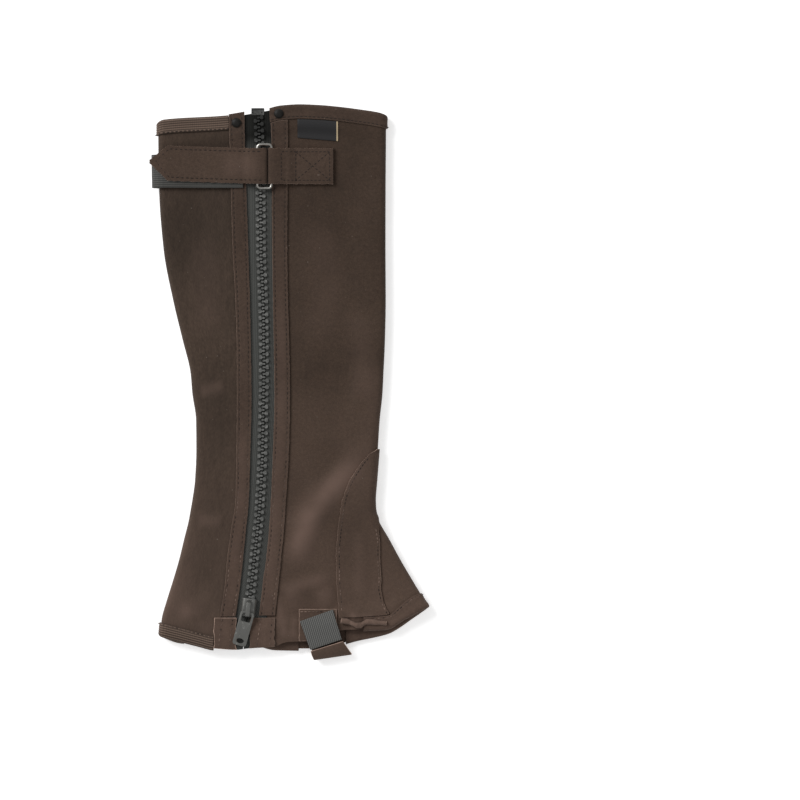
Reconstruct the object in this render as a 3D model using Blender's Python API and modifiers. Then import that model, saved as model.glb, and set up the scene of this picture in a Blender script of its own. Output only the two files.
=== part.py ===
"""Half chap: a legging of stretch cloth with a zip, laid flat with its outer side up.

The cloth is a flattened tube. A place on it is a height y and a run s round the front or the
back fold, more than 0 on the outer side, and every piece is made from such places and from
heights above or below the middle of the wall.
"""

import bisect
import math

import bmesh
import bpy

MM = 0.001
NAME = "half_chap"
SHARP_DEG = 40

# Wall, folds and heights, in mm
WALL = 2.6
GAP = 0.3
LAYER = 1.2
HALF = WALL / 2
FOLD_R = 3.2
ARC = math.pi * FOLD_R / 2
UNDER_Z = HALF + GAP + LAYER
FOLD_Z = UNDER_Z + FOLD_R
REST_Z = UNDER_Z + WALL + 0.4
RISE = UNDER_Z + 2 * FOLD_R - REST_Z
RISE_RUN = 30.0
RIM_RISE, RIM_FLAT, RIM_RUN = 0.66, 13.0, 8.0
ON_WALL = (HALF + GAP, HALF + GAP + LAYER)
ON_FACING = (ON_WALL[1] + GAP, ON_WALL[1] + GAP + LAYER)
SEAM = GAP / 2

# Bindings: a channel over the edge of the cloth
BIND_TALL, BIND_OVER, BIND_LEG, BIND_RIBS, RIB = 9.0, 1.5, 0.8, 5, 0.3
BIND_NEAR, BIND_EDGE = HALF + 0.4, 0.6
RIB_STARTS, RIB_ENDS = 0.25, 0.75
BINDING_ENDS = dict(inner=4.6, outer=54.0, gusset=40.5, rear=-60.0)

# Rows of places up the leg
Y_LOW, Y_HIGH, ANKLE_Y = -160.0, 160.0, -31.0
LEG_STEP, ANKLE_STEP = 16.3, 7.3
RIM_ROWS = (0.0, RIM_FLAT, RIM_FLAT + RIM_RUN / 2, RIM_FLAT + RIM_RUN)

# The zip, its slider and pull
CHAIN_W, CHAIN_LOW, CHAIN_HIGH = 8.0, -0.9, 2.2
TAPE_D = (0.1, HALF)
ZIP_LOW, CHAIN_TOP = -162.2, 202.6
BOX = dict(wide=8.0, low=203.0, high=208.6, down=-1.6, up=2.6)
SLIDER = dict(y=-170.6, half=7.0, turn=-7.2, floor=UNDER_Z + HALF + GAP)
PLATES = [
    dict(z=0.0, half=4.8), dict(z=1.2, half=4.8), dict(z=1.2, half=3.9), dict(z=3.0, half=3.9),
    dict(z=3.0, half=5.6), dict(z=5.0, half=5.6), dict(z=6.5, half=4.2),
]
PULL = dict(y=-174.4, z=12.2, turn=-15.4, thick=1.6, wide=10.6, long=26.4)
PULL_SLOT = dict(wide=7.4, long=6.2)
PULL_HOLE = dict(y=-22.0, long=3.0, tall=1.9)
CROWN = dict(wide=3.4, over=1.2, near=4.2, far=-5.7, clear=0.5, sunk=1.0, lean=3.0, eye=1.0)
SNAP_PROFILE = [
    dict(r=0.0, z=1.7), dict(r=1.6, z=1.6), dict(r=2.9, z=1.2), dict(r=3.6, z=0.6),
    dict(r=3.6, z=0.0), dict(r=0.0, z=0.0),
]
SNAPS = [
    dict(name="snap_left", x=-42.6, y=197.6, on=ON_WALL[1]),
    dict(name="snap_right", x=-10.4, y=204.6, on=BIND_NEAR + BIND_LEG),
]

# The leather strap, its ring and its anchor, whose loops pass round the ring's two bars
ELASTIC = dict(end=-37.5, low=148.2, high=173.4)
RING = dict(left=-26.6, right=-15.9, low=148.0, high=181.2, corner=2.2, wire=1.1, z=11.5)
LOOP_R, STRAP_THICK = 2.0, 1.2
TAB = dict(apex=-21.4, back=-30.0, droop=0.12)
TAB_PLACES = (-108.3, -103, -97.7, -94.6, -88, -80, -72, -64, -56, -48, -42, -37)
TAB_BEND = [dict(x=-33, up=1.1), dict(x=-29.5, up=1.85), dict(x=-26, up=2.0), dict(x=-23.5, up=2.0)]
TAB_EDGE = [
    dict(x=-108.3, low=166.9, high=169.1), dict(x=-94.6, low=153.5, high=180.1),
    dict(x=-30, low=151.3, high=178.2), dict(x=-15, low=151.3, high=178.2),
]
ANCHOR = dict(low=151.2, high=178.3)
ANCHOR_UNDER = (30.8, 22, 13, 6, 1.6)
ANCHOR_STEP = [dict(x=-2.8, up=-2.0), dict(x=-9, up=-2.0)]
ANCHOR_BEND = [
    dict(x=-12.6, up=1.75), dict(x=-8.6, up=0.55), dict(x=-5.4, up=-0.3), dict(x=-2.8, up=-0.48),
]
ANCHOR_OVER = (2.1, 6, 13, 22, 30.8)

LABEL = dict(left=3.8, right=34.6, low=184.7, top=11.0, thick=0.6)

# The foot strap: left and right edges and height, where None lies on the cloth's own surface
FOOT = [
    dict(left=(5.7, -180.9), right=(30.8, -172.1), z=None),
    dict(left=(8.5, -188.5), right=(32.9, -179.6), z=None),
    dict(left=(11.4, -196.5), right=(35.6, -188.0), z=12.0),
    dict(left=(13.6, -202.6), right=(37.6, -194.6), z=11.8),
    dict(left=(14.4, -205.8), right=(41.0, -199.8), z=10.9),
    dict(left=(15.6, -209.0), right=(44.0, -204.4), z=8.6),
    dict(left=(16.4, -210.2), right=(45.0, -206.0), z=6.1),
    dict(left=(16.4, -209.2), right=(44.5, -205.4), z=3.4),
    dict(left=(15.6, -206.6), right=(43.0, -203.8), z=1.2),
    dict(left=(14.4, -203.4), right=(40.5, -201.6), z=0.6),
    dict(left=(12.0, -197.8), right=(37.4, -197.4), z=0.6),
    dict(left=(10.8, -194.6), right=(36.0, -194.6), z=0.6),
]
FOOT_LIFT, FOOT_SPLIT, FOOT_GAP = 4.0, 3, 0.09
PATCH = dict(left=5.0, right=33.6, high=-171.8, inner_left=7.5, inner_right=36.4, inner_high=-165.0)

# Height, back edge, front edge and zip centre of the leg, in mm
LEG = [
    dict(y=215, back=-102.2, front=71.1, zip=-27.0),
    dict(y=195, back=-102.2, front=71.1, zip=-25.5),
    dict(y=147, back=-101.5, front=70.8, zip=-24.3),
    dict(y=101, back=-98.0, front=70.7, zip=-23.9),
    dict(y=63, back=-90.8, front=70.9, zip=-22.4),
    dict(y=33, back=-83.6, front=70.3, zip=-21.8),
    dict(y=8, back=-77.6, front=69.2, zip=-21.7),
    dict(y=-8, back=-76.2, front=68.4, zip=-22.0),
    dict(y=-28, back=-73.4, front=66.3, zip=-22.4),
    dict(y=-51, back=-73.2, front=64.8, zip=-22.8),
    dict(y=-74, back=-74.2, front=63.0, zip=-23.7),
    dict(y=-89, back=-76.2, front=61.9, zip=-24.7),
    dict(y=-97, back=-77.6, front=62.3, zip=-25.2),
    dict(y=-104, back=-78.8, front=65.0, zip=-25.8),
    dict(y=-119, back=-82.5, front=73.5, zip=-27.4),
    dict(y=-135, back=-86.4, front=82.2, zip=-29.3),
    dict(y=-150, back=-90.8, front=91.0, zip=-30.8),
    dict(y=-165, back=-95.5, front=100.0, zip=-32.7),
    dict(y=-180, back=-99.6, front=109.0, zip=-34.6),
    dict(y=-207, back=-102.0, front=109.0, zip=-38.0),
]

# Edges of the facings beside the zip and of the strip on the inner side
BANDS = [
    dict(y=215, far=-48.6, near=-36.6, right=-17.2, wide=-3.6, strip=-86.4, over=-56.6),
    dict(y=185, far=-47.8, near=-36.2, right=-16.0, wide=-3.6, strip=-86.4, over=-56.7),
    dict(y=101, far=-45.4, near=-33.6, right=-15.4, wide=-4.0, strip=-86.2, over=-57.3),
    dict(y=63, far=-43.4, near=-32.4, right=-14.8, wide=-3.4, strip=-82.5, over=-53.0),
    dict(y=25, far=-42.3, near=-31.6, right=-14.1, wide=-2.4, strip=-76.2, over=-47.6),
    dict(y=-13, far=-42.2, near=-31.2, right=-13.7, wide=-1.9, strip=-70.2, over=-44.5),
    dict(y=-51, far=-42.6, near=-32.0, right=-14.8, wide=-2.7, strip=-67.8, over=-40.2),
    dict(y=-89, far=-43.4, near=-33.2, right=-16.4, wide=-5.0, strip=-69.6, over=-38.6),
    dict(y=-112, far=-46.8, near=-35.4, right=-17.9, wide=-6.5, strip=-71.6, over=-39.8),
    dict(y=-135, far=-49.8, near=-37.7, right=-20.2, wide=-8.8, strip=-74.6, over=-41.7),
    dict(y=-150, far=-51.0, near=-39.3, right=-22.4, wide=-10.3, strip=-76.6, over=-43.2),
    dict(y=-165, far=-53.2, near=-41.4, right=-24.0, wide=-12.2, strip=-79.0, over=-44.6),
    dict(y=-180, far=-55.4, near=-43.6, right=-26.0, wide=-13.6, strip=-81.2, over=-46.2),
    dict(y=-207, far=-59.0, near=-46.6, right=-30.0, wide=-16.0, strip=-83.0, over=-47.6),
]

# Facings: lower end and how far the upper end stops below the rim, and their raw lower ends
FACINGS = [
    dict(name="facing_left", a="far", b="near", low=-177.4, trim=-2.5),
    dict(name="facing_right", a="right", b="wide", low=-176.6, trim=9.6),
]
FACING_ENDS = [
    dict(name="facing_left_end", left=-59.6, right=-42.6),
    dict(name="facing_right_end", left=-32.4, right=-13.4),
]
FACING_END_TOP = -178.4

# Upper and lower edges of the cloth on its two sides
TOP_OUTER = [
    dict(x=-104, y=194.5), dict(x=-97.7, y=198.3), dict(x=-49, y=201.6), dict(x=-36.9, y=203.6),
    dict(x=-17.9, y=207.0), dict(x=-9.5, y=209.0), dict(x=5.7, y=210.0), dict(x=20.9, y=209.4),
    dict(x=36.1, y=208.0), dict(x=51.3, y=206.0), dict(x=66.6, y=203.4), dict(x=72, y=201.0),
]
TOP_INNER = [
    dict(x=-104, y=194.5), dict(x=-97.7, y=198.3), dict(x=-40, y=201.5), dict(x=10, y=204.5),
    dict(x=66.6, y=203.4), dict(x=72, y=201.0),
]
LOW_OUTER = [
    dict(x=-102, y=-189.4), dict(x=-98.4, y=-191.5), dict(x=-85.5, y=-195.0),
    dict(x=-70.3, y=-199.0), dict(x=-60.4, y=-201.4), dict(x=-42.2, y=-202.6),
    dict(x=-33.1, y=-201.6), dict(x=-13.3, y=-200.2), dict(x=-4.9, y=-196.8),
    dict(x=24.7, y=-195.6), dict(x=36.9, y=-187.9), dict(x=55.9, y=-186.8),
    dict(x=72.6, y=-185.6), dict(x=81.7, y=-180.4), dict(x=93.1, y=-173.4),
    dict(x=105, y=-166.4),
]
LOW_INNER = [
    dict(x=-102, y=-189.4), dict(x=-96.9, y=-192.6), dict(x=-85.5, y=-196.4),
    dict(x=-66.5, y=-198.0), dict(x=-32.3, y=-197.4), dict(x=-13.3, y=-201.6),
    dict(x=11.0, y=-202.0), dict(x=28.5, y=-200.2), dict(x=47.5, y=-195.0),
    dict(x=72.6, y=-189.2), dict(x=81.7, y=-184.2), dict(x=93.1, y=-175.8),
    dict(x=105, y=-166.4),
]

# The ankle overlay's raw edges, as x, and the gusset's seams, as runs from the front crest
ANKLE = [
    dict(y=0, outer=44.0, inner=44.0),
    dict(y=-50.2, outer=62.4, inner=62.4), dict(y=-54.0, outer=58.6, inner=56.5),
    dict(y=-60.0, outer=52.8, inner=45.2), dict(y=-67.6, outer=47.5, inner=39.0),
    dict(y=-73.7, outer=43.7, inner=36.1), dict(y=-82.8, outer=39.9, inner=32.3),
    dict(y=-91.2, outer=37.6, inner=30.8), dict(y=-102.6, outer=35.7, inner=30.1),
    dict(y=-115.5, outer=34.2, inner=31.0), dict(y=-128.4, outer=33.1, inner=32.2),
    dict(y=-149.7, outer=33.4, inner=34.6), dict(y=-168.7, outer=34.9, inner=37.6),
    dict(y=-207, outer=36.3, inner=39.2),
]
GUSSET_TOP, OVERLAY_TOP = -101.3, -50.2
SLIT_ROWS = (-103.7, -106.1)
FOLD_STEPS, OVERLAY_STEPS = 3, 3
OVERLAY_TRIM = BIND_TALL + 0.6
GUSSET = [
    dict(y=-101.3, outer=0.0, inner=0.0), dict(y=-108.6, outer=3.1, inner=3.9),
    dict(y=-115.9, outer=6.2, inner=8.6), dict(y=-123.2, outer=9.7, inner=11.4),
    dict(y=-134.2, outer=15.6, inner=16.0), dict(y=-150, outer=23.9, inner=22.7),
    dict(y=-157, outer=28.4, inner=26.5), dict(y=-177, outer=34.3, inner=32.0),
    dict(y=-207, outer=32.6, inner=29.8),
]

# Largest folds of the outer side: middle line, half width and share of the full rise
FOLDS = [
    dict(line=[(58, -42), (43, -66), (28, -83), (13, -104), (5, -126), (3, -142)], half=12, tall=0.8),
    dict(line=[(32, -148), (6, -154), (-8, -162)], half=9, tall=0.5),
    dict(line=[(31, -157), (24, -160), (16, -164)], half=6, tall=0.4),
    dict(line=[(-72, -6), (-62, -5), (-50, -2)], half=8, tall=0.4),
    dict(line=[(-75, -100), (-62, -98), (-52, -98)], half=8, tall=0.35),
]

# Colour, roughness and metallic value of each finish
FINISH = {
    "stretch_cloth": dict(colour=(0.058, 0.041, 0.030), rough=0.85, metal=0.0),
    "grained_hide": dict(colour=(0.061, 0.042, 0.031), rough=0.7, metal=0.0),
    "webbing": dict(colour=(0.083, 0.080, 0.074), rough=0.9, metal=0.0),
    "edge_elastic": dict(colour=(0.107, 0.080, 0.063), rough=0.9, metal=0.0),
    "zip_tape": dict(colour=(0.044, 0.040, 0.036), rough=0.9, metal=0.0),
    "zip_teeth": dict(colour=(0.035, 0.030, 0.026), rough=0.4, metal=0.0),
    "dark_metal": dict(colour=(0.12, 0.11, 0.10), rough=0.35, metal=0.9),
    "label_cloth": dict(colour=(0.008, 0.008, 0.009), rough=0.7, metal=0.0),
}


def read(table, key, value, by="y"):
    """The value of a column where column `by` has this value, on straight lines between rows."""
    rows = sorted(table, key=lambda row: row[by])
    marks = [row[by] for row in rows]
    if value <= marks[0]:
        return rows[0][key]
    if value >= marks[-1]:
        return rows[-1][key]
    i = bisect.bisect_right(marks, value) - 1
    share = (value - marks[i]) / (marks[i + 1] - marks[i])
    return rows[i][key] + share * (rows[i + 1][key] - rows[i][key])


def smooth(share):
    share = min(1.0, max(0.0, share))
    return share * share * (3 - 2 * share)


def fold_middle(fold, y):
    """The x of the middle of the round fold."""
    return read(LEG, fold, y) - (HALF + FOLD_R if fold == "front" else -HALF - FOLD_R)


def fold_share(x, y):
    """How far the cloth's own folds lift a place, from 0 to 1."""
    left = 1.0
    for fold in FOLDS:
        best, along = 1e9, 0.0
        count = len(fold["line"]) - 1
        for i in range(count):
            (ax, ay), (bx, by) = fold["line"][i], fold["line"][i + 1]
            dx, dy = bx - ax, by - ay
            t = ((x - ax) * dx + (y - ay) * dy) / (dx * dx + dy * dy)
            t = min(1.0, max(0.0, t))
            far = math.hypot(x - ax - t * dx, y - ay - t * dy)
            if far < best:
                best, along = far, (i + t) / count
        if best < fold["half"]:
            ends = smooth(along / 0.25) * smooth((1 - along) / 0.25)
            left *= 1 - fold["tall"] * ends * (1 + math.cos(math.pi * best / fold["half"])) / 2
    return 1 - left


def upper_z(x, y):
    """The height of the middle of the upper wall."""
    left = 1 - smooth(1 - (fold_middle("front", y) - x) / RISE_RUN)
    left *= 1 - smooth(1 - (x - fold_middle("back", y)) / RISE_RUN)
    for rim in (read(TOP_OUTER, "y", x, "x") - y, y - read(LOW_OUTER, "y", x, "x")):
        left *= 1 - RIM_RISE * smooth(1 - (rim - RIM_FLAT) / RIM_RUN)
    left *= 1 - fold_share(x, y)
    return REST_Z + RISE * (1 - left)


def place(fold, y, s, d):
    """The point at a height y, a run s from the fold's crest and d out from the wall's middle."""
    out = 1 if fold == "front" else -1
    middle = fold_middle(fold, y)
    if abs(s) <= ARC:
        turn = s / FOLD_R
        return (
            middle + out * (FOLD_R + d) * math.cos(turn),
            y,
            FOLD_Z + (FOLD_R + d) * math.sin(turn),
        )
    x = middle - out * (abs(s) - ARC)
    return (x, y, upper_z(x, y) + d if s > 0 else UNDER_Z - d)


def run_to(fold, x, y, side=1):
    """The run from the crest of the fold to a place x on the outer (1) or inner (-1) side."""
    out = 1 if fold == "front" else -1
    past = out * (x - fold_middle(fold, y))
    if past > 0:
        return side * FOLD_R * math.acos(min(1.0, past / FOLD_R))
    return side * (ARC - past)


def rim_y(fold, run, outer, inner):
    """The height of the cloth's edge along a column, where run(y) gives the column's place."""
    y = outer[len(outer) // 2]["y"]
    for _ in range(8):
        s = run(y)
        x = place(fold, y, s, 0)[0]
        share = (1 + math.sin(max(-1.0, min(1.0, s / ARC)) * math.pi / 2)) / 2
        y = share * read(outer, "y", x, "x") + (1 - share) * read(inner, "y", x, "x")
    return y


def stations(low, high):
    """The heights of the rows between two heights, the same ones for every piece."""
    ys = []
    y = Y_HIGH
    while y > Y_LOW + 1:
        ys.append(y)
        y -= LEG_STEP if y > ANKLE_Y else ANKLE_STEP
    ys.append(Y_LOW)
    ys = sorted([*ys, *SLIT_ROWS], reverse=True)
    inside = [y for y in ys if low + 1.0 < y < high - 1.0]
    return [high, *inside, low]


def rows_for(fold, run, low, high, trim=0.0, top_trim=0.0):
    """The row heights of one column. None stands for the edge of the cloth, less its trim."""
    ys = stations(Y_LOW if low is None else low, Y_HIGH if high is None else high)
    if high is None:
        top = rim_y(fold, run, TOP_OUTER, TOP_INNER)
        ys = [top - top_trim, *(top - far for far in RIM_ROWS[1:])] + ys
    if low is None:
        end = rim_y(fold, run, LOW_OUTER, LOW_INNER)
        scale = min(1.0, (Y_LOW - end) / (RIM_ROWS[-1] + 1))
        above = [high] if high is not None and high < Y_LOW else ys
        ys = above + [end + far * scale for far in reversed(RIM_ROWS[1:])] + [end + trim]
    return ys


def material(finish):
    made = bpy.data.materials.get(finish)
    if made:
        return made
    look = FINISH[finish]
    made = bpy.data.materials.new(finish)
    made.use_nodes = True
    shader = made.node_tree.nodes["Principled BSDF"]
    shader.inputs["Base Color"].default_value = (*look["colour"], 1)
    shader.inputs["Roughness"].default_value = look["rough"]
    shader.inputs["Metallic"].default_value = look["metal"]
    return made


def finish_object(obj, name, finish):
    """Names an object, gives it its material and puts it in the part's collection."""
    obj.name = obj.data.name = name
    obj.data.materials.clear()
    obj.data.materials.append(material(finish))
    for home in list(obj.users_collection):
        home.objects.unlink(obj)
    bpy.data.collections[NAME].objects.link(obj)
    return obj


def object_from(bm, name, finish):
    bmesh.ops.recalc_face_normals(bm, faces=bm.faces)
    mesh = bpy.data.meshes.new(name)
    bm.to_mesh(mesh)
    bm.free()
    mesh.shade_smooth()
    mesh.set_sharp_from_angle(angle=math.radians(SHARP_DEG))
    return finish_object(bpy.data.objects.new(name, mesh), name, finish)


def quad(bm, verts, outward):
    """Two triangles, split along the same corner pair in every piece."""
    a, b, c, d = verts
    for face in ((a, b, c), (a, c, d)):
        bm.faces.new(face if outward else face[::-1])


def shell(name, finish, lower, upper):
    """A closed wall between two grids of points in mm."""
    bm = bmesh.new()
    rows, columns = len(lower), len(lower[0])
    kept = {(r, c) for r in range(rows - 1) for c in range(columns - 1)}
    made = {}

    def corner(layer, r, c):
        if (layer, r, c) not in made:
            point = (upper if layer else lower)[r][c]
            made[layer, r, c] = bm.verts.new([value * MM for value in point])
        return made[layer, r, c]

    for r, c in sorted(kept):
        ring = [(r, c), (r, c + 1), (r + 1, c + 1), (r + 1, c)]
        for layer in (1, 0):
            quad(bm, [corner(layer, *at) for at in ring], layer)
        beside = [(r - 1, c), (r, c + 1), (r + 1, c), (r, c - 1)]
        for i, other in enumerate(beside):
            if other not in kept:
                a, b = ring[i], ring[(i + 1) % 4]
                bm.faces.new([corner(0, *a), corner(0, *b), corner(1, *b), corner(1, *a)])
    return object_from(bm, name, finish)


def cloth(name, finish, fold, columns, depth=(-HALF, HALF), low=None, high=None, rows=None):
    """A wall on the tube: columns are functions from a height to a run round the fold."""
    grids = []
    heights = [rows(run) if rows else rows_for(fold, run, low, high) for run in columns]
    count = len(heights[0])
    for end in (0, 1):
        grid = []
        for r in range(count):
            row = []
            for c, run in enumerate(columns):
                y = heights[c][r]
                s = run(y)
                d = depth[end](s) if callable(depth[end]) else depth[end]
                row.append(place(fold, y, s, d))
            grid.append(row)
        grids.append(grid)
    return shell(name, finish, *grids)


def between(fold, x_a, x_b, count, side=1):
    """Columns from one edge to another on one side, each edge a function from height to x."""
    return [
        lambda y, t=i / count: run_to(fold, x_a(y) + t * (x_b(y) - x_a(y)), y, side)
        for i in range(count + 1)
    ]


def round_fold(count=6):
    """Columns round the fold, without its two ends."""
    return [lambda y, s=ARC * (1 - 2 * i / count): s for i in range(1, count)]


def column(key, table=BANDS, add=0.0):
    return lambda y: read(table, key, y) + add


def halfway(key_a, key_b, add=0.0):
    return lambda y: (read(BANDS, key_a, y) + read(BANDS, key_b, y)) / 2 + add


def crest(fold):
    return lambda y: fold_middle(fold, y)


def make_rear_panel():
    columns = between("back", halfway("far", "near", -SEAM), crest("back"), 8)
    columns += round_fold()
    columns += between("back", crest("back"), halfway("strip", "over", -SEAM), 2, side=-1)
    cloth("rear_panel", "stretch_cloth", "back", columns)


def seam_run(y, side):
    """The run from the front crest to the gusset's seam, which opens below the gusset's top."""
    if y >= GUSSET_TOP - 0.01:
        return 0.0
    return read(GUSSET, "outer" if side > 0 else "inner", y) + SEAM


def split_columns(beyond=None, steps=(8, 3)):
    """Columns of one side and then the other, from the ankle overlay's edges, or from the edges
    beyond them, to the gusset's seams. The overlay and the cloth under it share the first ones."""

    def leg(side):
        key = "outer" if side > 0 else "inner"
        further = steps[0] if side > 0 else steps[1]

        def at(k):
            def run(y):
                start = seam_run(y, side)
                edge = run_to("front", read(ANKLE, key, y), y)
                fine = min(ARC, 0.42 * (edge - start))
                if k <= FOLD_STEPS:
                    return side * (start + fine * k / FOLD_STEPS)
                if k <= FOLD_STEPS + OVERLAY_STEPS:
                    share = (k - FOLD_STEPS) / OVERLAY_STEPS
                    return side * (start + fine + share * (edge - start - fine))
                far = run_to("front", beyond[side](y), y)
                share = (k - FOLD_STEPS - OVERLAY_STEPS) / further
                return side * (edge + share * (far - edge))

            return run

        count = FOLD_STEPS + OVERLAY_STEPS + (further if beyond else 0)
        return [at(k) for k in range(count + 1)]

    outer, inner = leg(1), leg(-1)
    return outer[::-1] + inner, len(outer) - 1


def slit_shell(name, finish, depth, columns, middle, high, trim=0.0):
    """A wall with two legs below the gusset's top, which share a column above it."""
    top = cloth_grid(columns, depth, GUSSET_TOP, high)
    leg_out = cloth_grid(columns[: middle + 1], depth, None, GUSSET_TOP, trim)
    leg_in = cloth_grid(columns[middle + 1 :], depth, None, GUSSET_TOP, trim)
    bm = bmesh.new()
    made = {}

    def corner(key, point):
        if key not in made:
            made[key] = bm.verts.new([value * MM for value in point])
        return made[key]

    whole = [top, leg_out, leg_in]
    first = [0, 0, middle + 1]
    cells = {}
    last_row = len(top[0]) - 1
    for part, grids in enumerate(whole):
        rows, count = len(grids[0]), len(grids[0][0])
        for r in range(rows - 1):
            for c in range(count - 1):
                cells[part, r, c] = grids
    edges = {}
    for (part, r, c), grids in cells.items():
        ring = [(r, c), (r, c + 1), (r + 1, c + 1), (r + 1, c)]
        keys = []
        for row, col in ring:
            across = first[part] + col
            keys.append((0, row, across) if part == 0 else (1, row, across))
        keys = [(0, last_row, k[2]) if k[0] == 1 and k[1] == 0 else k for k in keys]
        for layer in (1, 0):
            points = [grids[layer][row][col] for row, col in ring]
            verts = [corner((layer, *k), p) for k, p in zip(keys, points)]
            quad(bm, verts, layer)
        for i in range(4):
            a, b = keys[i], keys[(i + 1) % 4]
            edges.setdefault(frozenset((a, b)), []).append((a, b))
    for uses in edges.values():
        if len(uses) == 1:
            a, b = uses[0]
            bm.faces.new([made[0, *a], made[0, *b], made[1, *b], made[1, *a]])
    return object_from(bm, name, finish)


def cloth_grid(columns, depth, low, high, trim=0.0):
    heights = [rows_for("front", run, low, high, trim) for run in columns]
    grids = []
    for d in depth:
        grids.append(
            [
                [place("front", heights[c][r], run(heights[c][r]), d) for c, run in enumerate(columns)]
                for r in range(len(heights[0]))
            ]
        )
    return grids


def make_front_panel():
    beyond = {1: halfway("right", "wide", SEAM), -1: halfway("strip", "over", SEAM)}
    columns, middle = split_columns(beyond)
    slit_shell("front_panel", "grained_hide", (-HALF, HALF), columns, middle, None)


def make_ankle_overlay():
    columns, middle = split_columns()
    slit_shell("ankle_overlay", "grained_hide", ON_WALL, columns, middle, OVERLAY_TOP, OVERLAY_TRIM)


def make_gusset():
    shares = (1.0, 0.72, 0.46, 0.28, 0.18, 0.11, 0.05)

    def at(share, side):
        return lambda y: side * share * (seam_run(y, side) - SEAM - 0.4)

    columns = [at(share, 1) for share in shares] + [lambda y: 0.0]
    columns += [at(share, -1) for share in reversed(shares)]
    cloth("gusset", "grained_hide", "front", columns, low=None, high=SLIT_ROWS[0])


def make_bands():
    """The facings beside the zip, their raw lower ends and the strip on the inner side."""
    for row in FACINGS:

        def rows(run, low=row["low"], trim=row["trim"]):
            return rows_for("front", run, low, None, top_trim=trim)

        columns = between("front", column(row["a"]), column(row["b"]), 2)
        cloth(row["name"], "grained_hide", "front", columns, ON_WALL, rows=rows)
    for row in FACING_ENDS:
        columns = between("front", straight(row["left"]), straight(row["right"]), 3)
        cloth(row["name"], "grained_hide", "front", columns, ON_WALL, None, FACING_END_TOP)
    columns = between("back", column("strip"), column("over"), 1, side=-1)
    cloth("inner_strip", "grained_hide", "back", columns, ON_WALL)


def channel(name, finish, fold, columns, rim, ribs=0):
    """A binding: a channel section carried along the edge of the cloth."""
    up = 1 if rim == "top" else -1
    tables = (TOP_OUTER, TOP_INNER) if rim == "top" else (LOW_OUTER, LOW_INNER)
    near, far = BIND_NEAR, BIND_NEAR + BIND_LEG
    section = [(near, -BIND_TALL), (near, BIND_EDGE), (-near, BIND_EDGE), (-near, -BIND_TALL)]
    section += [(-far, -BIND_TALL), (-far, BIND_OVER), (far, BIND_OVER)]
    for i in range(ribs):
        step = BIND_TALL / ribs
        section += [(far + RIB, -step * (i + RIB_STARTS)), (far, -step * (i + RIB_ENDS))]
    section += [(far, -BIND_TALL)]
    bm = bmesh.new()
    rings = []
    for run in columns:
        edge = rim_y(fold, run, *tables)
        ring = []
        for d, back in section:
            y = edge + up * back
            x, _, z = place(fold, y, run(y), d)
            if back > 0:
                z = place(fold, edge, run(edge), d)[2]
            ring.append(bm.verts.new((x * MM, y * MM, z * MM)))
        rings.append(ring)
    for a, b in zip(rings, rings[1:]):
        for i in range(len(section)):
            j = (i + 1) % len(section)
            bm.faces.new([a[i], a[j], b[j], b[i]])
    bm.faces.new(rings[0])
    bm.faces.new(rings[-1][::-1])
    return object_from(bm, name, finish)


def straight(x):
    return lambda y: x


def make_bindings():
    columns = between("back", column("far", add=-GAP), crest("back"), 8) + round_fold()
    columns += between("back", crest("back"), column("strip", add=-GAP), 3, side=-1)
    channel("top_binding_rear", "edge_elastic", "back", columns, "top", BIND_RIBS)
    columns = between("back", straight(BINDING_ENDS["rear"]), crest("back"), 6) + round_fold()
    columns += between("back", crest("back"), column("strip", add=-GAP), 3, side=-1)
    channel("bottom_binding_rear", "edge_elastic", "back", columns, "low", BIND_RIBS)
    columns = between("front", column("right", add=-2 * GAP), crest("front"), 14) + round_fold()
    columns += between("front", crest("front"), column("over", add=GAP), 12, side=-1)
    channel("top_binding_front", "grained_hide", "front", columns, "top")
    columns = between("front", column("over", add=GAP), straight(BINDING_ENDS["inner"]), 8, side=-1)
    channel("bottom_binding_inner", "grained_hide", "front", columns, "low")
    columns = between("front", straight(BINDING_ENDS["outer"]), crest("front"), 14) + round_fold()
    columns += between("front", crest("front"), straight(BINDING_ENDS["gusset"]), 8, side=-1)
    channel("gusset_binding", "grained_hide", "front", columns, "low")


def make_zip():
    left = between("front", halfway("far", "near", SEAM), column("zip", LEG, -CHAIN_W / 2 - GAP), 2)
    right = between("front", column("zip", LEG, CHAIN_W / 2 + GAP), halfway("right", "wide", -SEAM), 2)
    for name, columns in (("zip_tape_left", left), ("zip_tape_right", right)):
        cloth(name, "zip_tape", "front", columns, TAPE_D)
    chain = between("front", column("zip", LEG, -CHAIN_W / 2), column("zip", LEG, CHAIN_W / 2), 1)
    depth = (CHAIN_LOW, CHAIN_HIGH)

    def chain_rows(run):
        return [CHAIN_TOP, *rows_for("front", run, ZIP_LOW, None)[1:]]

    cloth("zip_chain", "zip_teeth", "front", chain, depth, rows=chain_rows)
    x = read(LEG, "zip", BOX["low"])
    z = upper_z(x, BOX["low"])
    corners = [(x - BOX["wide"] / 2, BOX["low"]), (x + BOX["wide"] / 2, BOX["high"])]
    block("zip_box", "dark_metal", corners, z + BOX["down"], z + BOX["up"])
    make_slider()
    make_pull()


def block(name, finish, corners, low, high):
    """A box between two corners and two heights, in mm."""
    (ax, ay), (bx, by) = corners
    bm = bmesh.new()
    bmesh.ops.create_cube(bm, size=MM)
    bmesh.ops.scale(bm, vec=(bx - ax, by - ay, high - low), verts=bm.verts)
    middle = [(a + b) / 2 * MM for a, b in ((ax, bx), (ay, by), (low, high))]
    bmesh.ops.translate(bm, vec=middle, verts=bm.verts)
    return object_from(bm, name, finish)


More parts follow.
